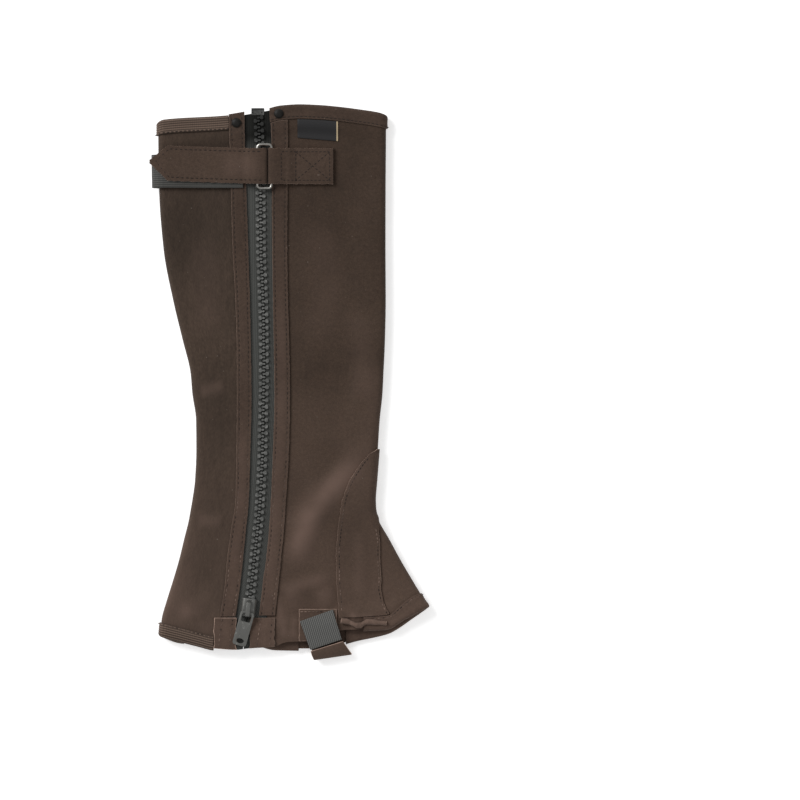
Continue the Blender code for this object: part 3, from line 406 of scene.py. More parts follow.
def run_to(fold, x, y, side=1):
    """The run from the crest to a place x on the outer (1) or inner (-1) side."""
    past = OUT[fold] * (x - fold_middle(fold, y))
    bent = FOLD_R * np.arccos(np.clip(past / FOLD_R, 0.0, 1.0))
    return side * np.where(past > 0, bent, ARC - past)


def rim_y(fold, run, rim):
    """The height of the cloth's edge in each column, where run(y) gives the columns' places."""
    y = np.full(np.shape(run(np.zeros(1))), RIM_GUESS[rim])
    for _ in range(10):
        s = run(y)
        x = place(fold, y, s, 0)[..., 0]
        share = (1 + np.sin(np.clip(s / ARC, -1, 1) * math.pi / 2)) / 2
        y = share * RIMS[rim][0](x) + (1 - share) * RIMS[rim][1](x)
    return y


print("a wall is", WALL, "mm thick and a fold is", 2 * (FOLD_R + HALF), "mm across")

# %% [markdown]
# ## Sewing a piece
#
# A piece of cloth is a grid of places between two edges. It is made as one sheet through the
# middle of the cloth, and then the Solidify modifier gives it a wall and the Bevel modifier
# rounds its cut edges. All pieces share the same rows up the leg, and the grid's run and height
# go into the UV map, so that a weave can follow the cloth round a fold.

# %% Rows up the leg
Y_LOW, Y_HIGH = -160.0, 160.0
EVEN_ROWS = np.linspace(Y_LOW, Y_HIGH, 101)[1:-1]
STEADY = np.array(sorted([*EVEN_ROWS, GUSSET_TOP], reverse=True))
NEAR_RIM = np.array([0.0, 0.5, 1.5, 3.0, 5.0, 7.5, 10.0, 13.0, 16.0, 19.0, 22.0])


def rows_between(fold, run, high, low, trim=(0.0, 0.0)):
    """Row heights for each column. An edge of None is the edge of the cloth itself, less trim."""
    wide = np.ones(run(np.zeros(1)).shape)
    above, below = [high], [low]
    if high is None:
        top = rim_y(fold, run, "top")
        above = [top - step for step in (trim[0], *NEAR_RIM[NEAR_RIM > trim[0] + 0.3])]
        above += [(top - NEAR_RIM[-1]) * (1 - t) + Y_HIGH * t for t in (0.25, 0.5, 0.75, 1)]
    if low is None:
        end = rim_y(fold, run, "low")
        room = np.minimum(1.0, (Y_LOW - end - 3) / NEAR_RIM[-1])
        steps = (trim[1], *NEAR_RIM[NEAR_RIM > trim[1] + 0.3])
        below = [Y_LOW * wide] + [end + step * room for step in reversed(steps)]
        if high is not None and high < Y_LOW:
            below = [end + (high - end) * (1 - t) for t in np.linspace(0.15, 1, 7)]
    start = Y_HIGH if high is None else high
    stop = Y_LOW if low is None else low
    inside = [y for y in STEADY if stop + 0.8 < y < start - 0.8]
    return np.array([row * wide for row in [*above, *inside, *below]])


# %% A grid of places
def across(edges, counts):
    """The runs of all columns of a piece: so many steps between each edge and the next."""
    weights = np.zeros((len(edges), sum(counts) + 1))
    column = 0
    for k, count in enumerate(counts):
        for i in range(count):
            weights[k, column], weights[k + 1, column] = 1 - i / count, i / count
            column += 1
    weights[-1, -1] = 1
    return lambda y: sum(weight * edge(y) for weight, edge in zip(weights, edges))


def grid(fold, run, d=0.0, high=None, low=None, trim=(0.0, 0.0), rows=None):
    """The points and the runs of a piece, d out from the middle of the wall."""
    y = rows_between(fold, run, high, low, trim) if rows is None else rows
    s = run(y)
    return place(fold, y, s, d(s) if callable(d) else d + 0 * s), np.stack([s, y], axis=-1)


def at_run(s):
    return lambda y: s + 0 * y


def on_side(fold, edge, side=1, add=0.0):
    """The run of an edge, of the middle between two edges or of a plain x, on one side."""
    if isinstance(edge, (int, float)):
        return lambda y: run_to(fold, edge + 0 * y, y, side)
    if isinstance(edge, tuple):
        a, b = EDGE[edge[0]], EDGE[edge[1]]
        return lambda y: run_to(fold, (a(y) + b(y)) / 2 + add, y, side)
    return lambda y: run_to(fold, EDGE[edge](y) + add, y, side)


# %% Sheet to sewn piece
# How much of each crease's height is painted as a highlight.
CREASE_HIGHLIGHT = 0.3
WELD, SHARP, CUT_ANGLE = 0.00002, math.radians(50), math.radians(60)
# Lines of pale streaks in the colour only, beside the facings and near the folds.
PALE_STREAKS = [
    dict(line=[(-56, 165), (-38, 165), (-20, 164)], half=17, tall=0.32),
    dict(line=[(-9, 110), (-8, 0), (-15, -110), (-23, -190)], half=7, tall=0.28),
    dict(line=[(-38, -20), (-40, -100), (-50, -190)], half=7, tall=0.18),
    dict(line=[(-84, -100), (-88, -140), (-94, -190)], half=22, tall=0.3),
    dict(line=[(64, 30), (60, -40), (52, -110)], half=14, tall=0.12),
]


def mesh_from(name, grids):
    """One mesh from grids of points in mm, with runs in metres as its UV map."""
    bm = bmesh.new()
    layer = bm.loops.layers.uv.new("cloth")
    for points, runs in grids:
        rows, columns = points.shape[:2]
        verts = [[bm.verts.new(points[r, c] * MM) for c in range(columns)] for r in range(rows)]
        for r in range(rows - 1):
            for c in range(columns - 1):
                ring = [(r, c), (r, c + 1), (r + 1, c + 1), (r + 1, c)]
                face = bm.faces.new([verts[a][b] for a, b in ring])
                for loop, (a, b) in zip(face.loops, ring):
                    loop[layer].uv = runs[a, b] * MM
    bmesh.ops.remove_doubles(bm, verts=bm.verts, dist=WELD)
    bmesh.ops.recalc_face_normals(bm, faces=bm.faces)
    top = max(bm.faces, key=lambda face: face.calc_center_median().z)
    if top.normal.z < 0:
        bmesh.ops.reverse_faces(bm, faces=bm.faces)
    mesh = bpy.data.meshes.new(name)
    bm.to_mesh(mesh)
    bm.free()
    return mesh


def mark_highlight_and_streaks(mesh):
    """A share for each point of the outer side: painted highlight on folds and creases, and pale
    streaks.
    """
    points = np.empty(3 * len(mesh.vertices))
    mesh.vertices.foreach_get("co", points)
    x, y, z = points.reshape(-1, 3).T / MM
    # Folds and creases give the painted highlight, and the streak lines give pale streaks.
    share = sum(row["tall"] * swell(row, x, y) for row in (*FOLDS, *PALE_STREAKS))
    share = share + CREASE_HIGHLIGHT * sum(row["tall"] * swell(row, x, y) for row in CREASES)
    mesh.attributes.new("highlight_and_streaks", "FLOAT", "POINT").data.foreach_set(
        "value", np.where(z > REST_Z - HALF, np.clip(share, 0.0, 1.0), 0.0)
    )


def baked(obj):
    """The object with its modifiers applied, as a new plain mesh of the same name."""
    depsgraph = bpy.context.evaluated_depsgraph_get()
    mesh = bpy.data.meshes.new_from_object(obj.evaluated_get(depsgraph))
    obj.modifiers.clear()
    obj.data = mesh
    mesh.shade_smooth()
    mesh.set_sharp_from_angle(angle=SHARP)
    return obj


def sewn(name, grids, thick, cloth, cut_edge=None, rounding=0.3):
    """A wall of cloth through the grids, with rounded edges that may have their own finish."""
    mesh = mesh_from(name, grids)
    mesh.materials.append(cloth)
    mesh.materials.append(cut_edge or cloth)
    obj = bpy.data.objects.new(f"{name}_cloth", mesh)
    bpy.context.scene.collection.objects.link(obj)
    wall = obj.modifiers.new("wall", "SOLIDIFY")
    wall.thickness, wall.offset = thick * MM, 0.0
    wall.material_offset_rim = 1
    edge = obj.modifiers.new("edge", "BEVEL")
    edge.width, edge.segments = rounding * MM, 2
    edge.limit_method, edge.angle_limit = "ANGLE", CUT_ANGLE
    edge.material = 1
    baked(obj)
    mark_highlight_and_streaks(obj.data)
    return obj


# %% Attaching a piece to its body
def surface(obj):
    return sum(face.area for face in obj.data.polygons)


def worn(obj, body, slot, *nodes):
    """The piece moves with a body and stands for some CAD nodes, which are hidden; slot is not used."""
    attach(obj, body)
    if nodes:
        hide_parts(*nodes)
    print(f"{obj.name}: {len(obj.data.polygons)} faces")
    return obj


def as_cloth(obj, slot):
    """A sheet of cloth that moves with the chap and stands for the CAD node of its own name."""
    worn(obj, "chap", slot, obj.name.removesuffix("_cloth"))


# %% [markdown]
# ## Finishes
#
# The hide is matt and suede-like: a short nap breaks up the light, so there is almost no gloss.
# Four sizes of noise stand for it: wide clouds where the nap lies another way, small blotches, a
# grain, and the nap itself, which changes the tone and bends the normal. Raised folds and creases
# get a painted highlight, a few streaks beside the facings and folds are paler, and the hide grows
# paler towards the ankle, with dust and with painted light. The calf panel is a brushed stretch
# cloth of nearly the same brown. Cut edges show the paler core of the hide.

# %% Hide, stretch cloth and cut edges
# The pale colour of the painted highlight, the pale streaks and the dust, then that of pale specks.
PALE_HIGHLIGHT_AND_DUST, SPECK = (0.150, 0.098, 0.078), (0.25, 0.21, 0.18)
# Near-black colours of the zip's upper end: black tape with painted shade, and painted shade on
# plastic.
BLACK_TAPE_AND_SHADE, PAINTED_SHADE_PLASTIC = (0.006, 0.006, 0.005), (0.009, 0.009, 0.008)
NAP_DEPTH, RELIEF_DEPTH, FINE_DEPTH, RIB_DEPTH = 0.00012, 0.0002, 0.0001, 0.0002
# Heights in metres where the painted light gradient down the leg starts and ends.
ANKLE_Y, KNEE_Y = -0.17, 0.15


def painted_light_down_the_leg(shades, ends):
    """A painted light gradient: a tone that goes from one number at the knee to another at the ankle.
    """
    height = shades.node("ShaderNodeSeparateXYZ", Vector=shades.object).outputs["Y"]
    return shades.between(height, KNEE_Y, ANKLE_Y, *ends)


def highlight_streaks_and_dust(shades):
    """How pale the hide is painted: a painted highlight on folds, pale streaks, and dust towards the
    ankle.
    """
    highlight_and_streaks = shades.node("ShaderNodeAttribute", {"attribute_name": "highlight_and_streaks"}).outputs["Fac"]
    height = shades.node("ShaderNodeSeparateXYZ", Vector=shades.object).outputs["Y"]
    dust = shades.between(height, 0.02, -0.19, 0.0, 0.3)
    patch = shades.between(shades.noise(34.0, 3.0), 0.3, 0.7, 0.55, 1.0)
    pale_share = shades.math("ADD", shades.math("MULTIPLY", highlight_and_streaks, 0.9), dust)
    return shades.math("MULTIPLY", pale_share, patch)


def hide(name, dark, light, ends=(0.84, 1.08)):
    """Suede-like hide: clouds, blotches, grain and pale specks, with a short nap."""
    shades = Shades(name)
    cloud = shades.between(shades.noise(16.0, 3.0), 0.32, 0.68)
    blotch = shades.between(shades.noise(120.0, 4.0), 0.3, 0.7)
    fine = shades.noise(1300.0, 3.0, roughness=0.7)
    colour = shades.mix(cloud, dark, light)
    colour = shades.mix(shades.math("MULTIPLY", blotch, 0.5), colour, light)
    tone = shades.between(fine, 0.25, 0.75, 0.72, 1.28)
    grain = shades.between(shades.noise(430.0, 3.0, roughness=0.6), 0.3, 0.7, 0.86, 1.14)
    tone = shades.math("MULTIPLY", tone, grain)
    # Painted light: darker at the knee and lighter at the ankle, as the light falls.
    tone = shades.math("MULTIPLY", tone, painted_light_down_the_leg(shades, ends))
    shade = shades.node("ShaderNodeCombineColor", Red=tone, Green=tone, Blue=tone).outputs[0]
    colour = shades.mix(1.0, colour, shade, "MULTIPLY")
    # Painted highlight on raised folds and creases, pale streaks, and dust towards the ankle.
    colour = shades.mix(highlight_streaks_and_dust(shades), colour, PALE_HIGHLIGHT_AND_DUST)
    speck = shades.math("GREATER_THAN", shades.noise(560.0, 0.0), 0.875)
    colour = shades.mix(shades.math("MULTIPLY", speck, 0.3), colour, SPECK)
    rough = shades.between(blotch, 0.0, 1.0, 0.82, 0.96)
    relief = shades.bump(shades.noise(260.0, 4.0, roughness=0.6), RELIEF_DEPTH, 0.5)
    normal = shades.bump(fine, NAP_DEPTH, 0.7, relief)
    return shades.finish(colour, rough, normal, sheen=0.04, specular=0.14)


def stretch(name, dark, light, ends):
    """Brushed stretch cloth: fine fibres that run up the leg."""
    shades = Shades(name)
    along_leg = shades.node("ShaderNodeMapping", Vector=shades.object, Scale=(1.0, 0.3, 1.0))
    fibres = along_leg.outputs[0]
    fine = shades.noise(1500.0, 3.0, fibres, 0.6)
    cloud = shades.between(shades.noise(13.0, 3.0), 0.3, 0.7)
    colour = shades.mix(cloud, dark, light)
    tone = shades.between(fine, 0.25, 0.75, 0.74, 1.26)
    grain = shades.between(shades.noise(380.0, 3.0, fibres, 0.6), 0.3, 0.7, 0.86, 1.14)
    tone = shades.math("MULTIPLY", tone, grain)
    # Painted light: darker at the knee and lighter at the ankle, as the light falls.
    tone = shades.math("MULTIPLY", tone, painted_light_down_the_leg(shades, ends))
    shade = shades.node("ShaderNodeCombineColor", Red=tone, Green=tone, Blue=tone).outputs[0]
    colour = shades.mix(1.0, colour, shade, "MULTIPLY")
    # Painted highlight on raised folds and creases, pale streaks, and dust towards the ankle.
    colour = shades.mix(highlight_streaks_and_dust(shades), colour, PALE_HIGHLIGHT_AND_DUST)
    speck = shades.math("GREATER_THAN", shades.noise(560.0, 0.0), 0.87)
    colour = shades.mix(shades.math("MULTIPLY", speck, 0.3), colour, SPECK)
    rough = shades.between(cloud, 0.0, 1.0, 0.8, 0.92)
    normal = shades.bump(fine, FINE_DEPTH, 0.6)
    return shades.finish(colour, rough, normal, sheen=0.05, specular=0.14)


def core(name, dark, light):
    """The cut edge of the hide, where the paler core and some loose fibres show."""
    shades = Shades(name)
    patch = shades.between(shades.noise(300.0, 4.0, roughness=0.7), 0.35, 0.7)
    fibres = shades.noise(2200.0, 2.0)
    colour = shades.mix(patch, dark, light)
    colour = shades.mix(shades.math("MULTIPLY", fibres, 0.5), colour, dark)
    normal = shades.bump(fibres, RELIEF_DEPTH, 0.8)
    return shades.finish(colour, 0.95, normal, sheen=0.1, specular=0.1)


# The pair after the two colours sets the painted light gradient from the knee to the ankle.
FRONT_HIDE = hide("front_hide", (0.041, 0.0265, 0.0185), (0.067, 0.0440, 0.0315))
FACING_HIDE = hide("facing_hide", (0.045, 0.0285, 0.0205), (0.076, 0.0500, 0.0370), (0.88, 1.16))
STRAP_HIDE = hide("strap_hide", (0.042, 0.0270, 0.0190), (0.068, 0.0445, 0.0325), (1.0, 1.3))
INNER_HIDE = hide("inner_hide", (0.046, 0.0295, 0.0215), (0.072, 0.0475, 0.0350), (0.95, 1.1))
CALF_CLOTH = stretch("calf_cloth", (0.040, 0.0270, 0.0190), (0.068, 0.0460, 0.0335), (0.84, 1.16))
CUT_EDGE = core("cut_edge", (0.24, 0.165, 0.130), (0.66, 0.46, 0.37))
WORN_EDGE = core("worn_edge", (0.090, 0.060, 0.046), (0.26, 0.18, 0.14))


# %% Thread, elastic, tape and label
def thread(name, dark, light):
    """Sewing thread: dark in the upper leg and dusty towards the ankle, with a twisted ply."""
    shades = Shades(name)
    height = shades.node("ShaderNodeSeparateXYZ", Vector=shades.object).outputs["Y"]
    dusty = shades.between(height, 0.02, -0.16)
    patch = shades.between(shades.noise(90.0, 3.0), 0.42, 0.62)
    share = shades.math("MULTIPLY", dusty, patch)
    ply = shades.node(
        "ShaderNodeTexWave", {"bands_direction": "DIAGONAL"}, Vector=shades.object, Scale=900.0
    )
    colour = shades.mix(share, dark, light)
    normal = shades.bump(ply.outputs["Fac"], FINE_DEPTH, 0.6)
    return shades.finish(colour, 0.75, normal, specular=0.3)


def shaded_above(shades, level):
    """Nearly 1 over a height in metres and 0 under it: black tape and painted shade on the zip's end.
    """
    height = shades.node("ShaderNodeSeparateXYZ", Vector=shades.object).outputs["Y"]
    return shades.between(height, level - 0.01, level + 0.004, 0.0, 0.96)


def ribbed(name, dark, light, pitch, slant=0.0, upright=False, dark_above=None):
    """Woven elastic or tape: ribs of thread with painted shade in the gap between, carried by the UV
    map.
    """
    shades = Shades(name)
    uv = shades.node("ShaderNodeUVMap", {"uv_map": "cloth"}).outputs["UV"]
    parts = shades.node("ShaderNodeSeparateXYZ", Vector=uv).outputs
    main, other = (parts["X"], parts["Y"]) if upright else (parts["Y"], parts["X"])
    ramp = shades.math("ADD", main, shades.math("MULTIPLY", other, slant))
    wave = shades.math("COSINE", shades.math("MULTIPLY", ramp, 2 * math.pi / pitch))
    rib = shades.between(wave, 1.0, -1.0)
    picks = shades.math("SINE", shades.math("MULTIPLY", other, 2 * math.pi / (pitch * 0.8)))
    weave = shades.math("MULTIPLY", rib, shades.between(picks, -1.0, 1.0, 0.7, 1.0))
    fuzz = shades.noise(1800.0, 2.0)
    # The gaps between the ribs take the dark colour as painted shade.
    colour = shades.mix(weave, dark, light)
    colour = shades.mix(shades.math("MULTIPLY", fuzz, 0.35), colour, dark)
    if dark_above is not None:
        # Over the given height the tape turns near black: black tape with painted shade.
        colour = shades.mix(shaded_above(shades, dark_above), colour, BLACK_TAPE_AND_SHADE)
    normal = shades.bump(fuzz, FINE_DEPTH, 0.4, shades.bump(weave, RIB_DEPTH, 0.8))
    return shades.finish(colour, 0.85, normal, sheen=0.05, specular=0.15)


def label_weave(name, edge_x):
    """Smooth black satin weave with a pale thread down the right edge, and no words."""
    shades = Shades(name)
    across_x = shades.node("ShaderNodeSeparateXYZ", Vector=shades.object).outputs["X"]
    weave = shades.noise(2400.0, 2.0)
    colour = shades.mix(weave, (0.006, 0.006, 0.007), (0.022, 0.021, 0.022))
    pale = shades.math("GREATER_THAN", across_x, edge_x)
    colour = shades.mix(shades.math("MULTIPLY", pale, 0.85), colour, (0.55, 0.43, 0.27))
    return shades.finish(colour, 0.55, shades.bump(weave, FINE_DEPTH, 0.4), specular=0.35)


THREAD = thread("thread", (0.020, 0.013, 0.010), (0.22, 0.15, 0.12))
PALE_THREAD = thread("pale_thread", (0.075, 0.050, 0.038), (0.30, 0.21, 0.16))
STRAP_ELASTIC = ribbed("strap_elastic", (0.035, 0.035, 0.033), (0.10, 0.098, 0.092), 0.0016)
FOOT_ELASTIC = ribbed(
    "foot_elastic", (0.056, 0.057, 0.055), (0.20, 0.197, 0.187), 0.0019, 0.75, upright=True
)
EDGE_ELASTIC = ribbed("edge_elastic", (0.034, 0.023, 0.017), (0.20, 0.140, 0.108), 0.0018)
# The tape's upper end turns near black: black tape with painted shade.
ZIP_TAPE = ribbed(
    "zip_tape", (0.045, 0.046, 0.043), (0.085, 0.087, 0.081), 0.0013, upright=True, dark_above=0.184
)
LABEL_EDGE_X = 0.0334
LABEL_CLOTH = label_weave("label_cloth", LABEL_EDGE_X)
print("finishes:", len(bpy.data.materials))

# %% [markdown]
# ## The two big panels
#
# The calf panel runs from the left side of the zip round the back fold to the strip on the inner
# side. The front panel runs from the right side of the zip round the shin, and below the ankle it
# is slit down its crest, where a wedge, the gusset, opens the hem over the foot.

# %% Calf panel
def strip_of(first, last, counts):
    """Columns from one edge on the outer side to another on the inner side, through the fold."""
    return across([first, at_run(ARC), at_run(-ARC), last], counts)


zip_seam = on_side("back", ("far", "near"), 1, -SEAM)
strip_seam = on_side("back", ("strip", "over"), -1, -SEAM)
calf = strip_of(zip_seam, strip_seam, (22, 14, 10))
rear_panel = sewn("rear_panel", [grid("back", calf)], WALL, CALF_CLOTH)
as_cloth(rear_panel, "stretch_cloth")


# %% Front panel with its slit
CREST_SHARE = 0.42


def seam_run(side):
    """The run from the crest to the gusset's seam, which opens below the gusset's top."""
    key = "outer" if side > 0 else "inner"

    def run(y):
        return side * np.where(y >= GUSSET_TOP - 0.01, 0.0, GUSSET_RUN[key](y) + SEAM)

    return run


def overlay_run(side):
    key = "outer" if side > 0 else "inner"
    return lambda y: run_to("front", ANKLE_EDGE[key](y), y, side)


def near_crest(side):
    """A line beside the seam, so that the columns lie close together round the fold."""
    seam, edge = seam_run(side), overlay_run(side)

    def run(y):
        return seam(y) + side * np.minimum(ARC, CREST_SHARE * np.abs(edge(y) - seam(y)))

    return run


zip_seam = on_side("front", ("right", "wide"), 1, SEAM)
strip_seam = on_side("front", ("strip", "over"), -1, SEAM)
outer_leg = across([zip_seam, near_crest(1), seam_run(1)], (26, 8))
inner_leg = across([seam_run(-1), near_crest(-1), strip_seam], (8, 34))
legs = [grid("front", outer_leg), grid("front", inner_leg)]
front_panel = sewn("front_panel", legs, WALL, FRONT_HIDE)
as_cloth(front_panel, "grained_hide")


# %% Gusset
WEDGE_TOP, WEDGE_GAP, WEDGE_FOLD = -103.7, 0.05, 0.35


def part_way(side, share):
    """A share of the way from the crest to the seam."""
    seam = seam_run(side)
    return lambda y: share * side * np.maximum(np.abs(seam(y)) - SEAM - WEDGE_GAP, 0.0)


outer_half = [part_way(1, 1.0), part_way(1, WEDGE_FOLD)]
inner_half = [part_way(-1, WEDGE_FOLD), part_way(-1, 1.0)]
wedge = across([*outer_half, *inner_half], (22, 36, 22))
gusset = sewn("gusset", [grid("front", wedge, high=WEDGE_TOP)], WALL, FRONT_HIDE)
as_cloth(gusset, "grained_hide")

# %% [markdown]
# ## The ankle overlay and the strip on the inner side
#
# A second layer of hide wraps the ankle. Its raw edges show the pale core, so its Bevel gets the
# cut-edge finish, and the edges waver a little, as scissors leave them. The strip on the inner
# side covers the join of the two panels.

# %% Ankle overlay
def waver(y, size=0.22):
    """How far a cut edge strays from its line."""
    return size * (np.sin(0.9 * y) + 0.6 * np.sin(2.3 * y + 1.0) + 0.4 * np.sin(4.7 * y + 2.0))


def wavering(run, side, size=0.22):
    return lambda y: run(y) + side * waver(y, size)


UNDER_BINDING = 9.6
hem = (0.0, UNDER_BINDING)
outer_flap = across([wavering(overlay_run(1), 1), near_crest(1), seam_run(1)], (12, 8))
inner_flap = across([seam_run(-1), near_crest(-1), wavering(overlay_run(-1), -1)], (8, 12))
flaps = [
    grid("front", run, ON_WALL, high=OVERLAY_TOP, trim=hem) for run in (outer_flap, inner_flap)
]
ankle_overlay = sewn("ankle_overlay", flaps, LAYER, FRONT_HIDE, CUT_EDGE, 0.5)
as_cloth(ankle_overlay, "grained_hide")


# %% Bands beside the zip and on the inner side
def grooves(count, wide, lines, deep=0.24):
    """How far the sewn rows pull a band in, column by column."""
    at = np.linspace(0, wide, count + 1)
    return -sum(deep * np.exp(-(((at - line) / 0.6) ** 2)) for line in lines)


ZIP_ROW = 1.9
BAND_ROWS = (ZIP_ROW, -ZIP_ROW)
INNER_ROWS = (2.3, 9.1, -9.1, -2.3)


def band(name, fold, a, b, side, count, wide, lines, finish, edge, **rows):
    """A band between edges a and b, with rows sewn at lines from its left or right edge."""
    shifts = ON_WALL + grooves(count, wide, [line if line > 0 else wide + line for line in lines])
    sides = [wavering(on_side(fold, edge_at, side), side, 0.1) for edge_at in (a, b)]
    run = across(sides, (count,))
    return sewn(name, [grid(fold, run, shifts, **rows)], LAYER, finish, edge, 0.25)


facing_left = band(
    "facing_left", "front", "far", "near", 1, 18, 11.6, BAND_ROWS, FACING_HIDE, WORN_EDGE,
    low=-177.4, trim=(-2.5, 0.0),
)
facing_right = band(
    "facing_right", "front", "right", "wide", 1, 18, 12.2, BAND_ROWS, FACING_HIDE, WORN_EDGE,
    low=-176.6, trim=(UNDER_BINDING, 0.0),
)
inner_strip = band(
    "inner_strip", "back", "strip", "over", -1, 30, 30.0, INNER_ROWS, INNER_HIDE, CUT_EDGE
)
as_cloth(facing_left, "grained_hide")
as_cloth(facing_right, "grained_hide")
as_cloth(inner_strip, "grained_hide")


# %% Raw lower ends of the facings
END_COLUMNS, ENDS_FROM = 16, -178.4


def curled(count):
    """Lifts the two sides of a raw end a little."""
    at = np.linspace(-1, 1, count + 1)
    return ON_WALL + 0.5 * at**6 + 0.35 * np.sin(3.0 * at + 0.6) ** 2


FACING_ENDS = [
    dict(name="facing_left_end", left=-59.6, right=-42.6, waver=0.5, edge=CUT_EDGE),
    dict(name="facing_right_end", left=-32.4, right=-13.4, waver=0.4, edge=WORN_EDGE),
]
for row in FACING_ENDS:
    sides = [wavering(on_side("front", row[key]), 1, row["waver"]) for key in ("left", "right")]
    end_run = across(sides, (END_COLUMNS,))
    end_grid = grid("front", end_run, curled(END_COLUMNS), high=ENDS_FROM)
    piece = sewn(row["name"], [end_grid], LAYER, FACING_HIDE, row["edge"], 0.3)
    as_cloth(piece, "grained_hide")

# %% [markdown]
# ## Bindings
#
# A binding folds over the edge of the cloth. Its section is a path down one side, round the edge
# and up the other, swept along the edge. The calf's bindings are elastic with five ribs, which
# swell the outer side of the path, and the others are folded hide.

# %% Bindings
BIND_TALL, BIND_MIDDLE, BIND_WALL = 9.0, HALF + 0.8, 0.8
BIND_ROW, ELASTIC_ROW, RIBS = 7.6, 8.3, 5
RIB_SWELL, FOLD_SWELL, ROW_DIP = 0.28, 0.1, 0.25


def binding_section(ribs):
    """Places down the binding: out from the wall's middle, back from the edge, and length."""
    past = 0.6
    down = np.linspace(BIND_TALL, past, 43)
    if ribs:
        relief = RIB_SWELL * np.abs(np.sin(math.pi * ribs * down / BIND_TALL))
    else:
        relief = FOLD_SWELL * np.sin(down) - ROW_DIP * np.exp(-(((down - BIND_ROW) / 0.5) ** 2))
    bend = np.radians(np.linspace(0, 180, 9)[1:-1])
    back = np.array([past, 3.0, 6.0, BIND_TALL])
    d = np.concatenate([BIND_MIDDLE + relief, BIND_MIDDLE * np.cos(bend), -BIND_MIDDLE + 0 * back])
    far = np.concatenate([-down, -past + BIND_MIDDLE * np.sin(bend), -back])
    length = np.concatenate([[0], np.cumsum(np.hypot(np.diff(d), np.diff(far)))])
    return d, far, length


def binding(name, fold, edges, counts, rim, finish, ribs=0, edge=None):
    """The section swept along the top or low edge of the cloth."""
    run = across(edges, counts)
    rim_at = rim_y(fold, run, rim)
    up = 1 if rim == "top" else -1
    d, far, length = binding_section(ribs)
    y = rim_at[None, :] + up * far[:, None]
    points = place(fold, y, run(y), d[:, None])
    runs = np.stack([run(y), length[:, None] + 0 * y], axis=-1)
    return sewn(name, [(points, runs)], BIND_WALL, finish, edge, 0.15)


through = (at_run(ARC), at_run(-ARC))
edges = [on_side("back", "far", 1, -GAP), *through, on_side("back", "strip", -1, -GAP)]
top_binding_rear = binding(
    "top_binding_rear", "back", edges, (30, 14, 4), "top", EDGE_ELASTIC, RIBS
)
edges = [on_side("back", -60.0), *through, on_side("back", "strip", -1, -GAP)]
bottom_binding_rear = binding(
    "bottom_binding_rear", "back", edges, (26, 14, 5), "low", EDGE_ELASTIC, RIBS
)
edges = [on_side("front", "right", 1, -2 * GAP), *through, on_side("front", "over", -1, GAP)]
top_binding_front = binding(
    "top_binding_front", "front", edges, (42, 14, 44), "top", FACING_HIDE, edge=WORN_EDGE
)
edges = [on_side("front", "over", -1, GAP), on_side("front", 4.6, -1)]
bottom_binding_inner = binding("bottom_binding_inner", "front", edges, (26,), "low", INNER_HIDE)
edges = [on_side("front", 54.0), *through, on_side("front", 40.5, -1)]
gusset_binding = binding("gusset_binding", "front", edges, (26, 14, 30), "low", FACING_HIDE)
as_cloth(top_binding_rear, "edge_elastic")
as_cloth(bottom_binding_rear, "edge_elastic")
as_cloth(top_binding_front, "grained_hide")
as_cloth(bottom_binding_inner, "grained_hide")
as_cloth(gusset_binding, "grained_hide")

# %% [markdown]
# ## The zip
#
# The tape is woven cloth, made like the bands but lower. The teeth are moulded plastic: each is
# one small block with a neck and a round head, and they alternate from side to side. A Geometry
# Nodes tree places them along the zip's line, and turns every second one round.

# %% Zip tapes
TAPE_D, TAPE_THICK, TAPE_COLUMNS, TAPE_GAP = 0.7, 1.1, 20, 0.2
CORD_TALL, CORD_HALF = 0.35, 0.12


def tape(name, edges, cord_at):
    """A zip tape with a woven cord near the edge that holds the teeth."""
    share = np.linspace(0, 1, TAPE_COLUMNS + 1)
    ridge = CORD_TALL * np.exp(-(((share - cord_at) / CORD_HALF) ** 2))
    points = grid("front", across(edges, (TAPE_COLUMNS,)), TAPE_D + ridge)
    return sewn(name, [points], TAPE_THICK, ZIP_TAPE, None, 0.1)


edges = [on_side("front", ("far", "near"), 1, SEAM), on_side("front", "zip", 1, -TAPE_GAP)]
zip_tape_left = tape("zip_tape_left", edges, 0.68)
edges = [on_side("front", "zip", 1, TAPE_GAP), on_side("front", ("right", "wide"), 1, -SEAM)]
zip_tape_right = tape("zip_tape_right", edges, 0.32)
as_cloth(zip_tape_left, "zip_tape")
as_cloth(zip_tape_right, "zip_tape")

# %% [markdown]
# The teeth come from a Geometry Nodes tree with named inputs for the pitch and the finish. The
# tooth is a mesh object that the tree repeats, so one small shape of a few dozen faces is enough.

# %% One tooth
TOOTH = dict(root=-3.9, neck=-0.75, head=1.1, wide=3.4, slim=1.1, tall=2.3, round=0.17)
BLOCK = (-3.2, -1.9)


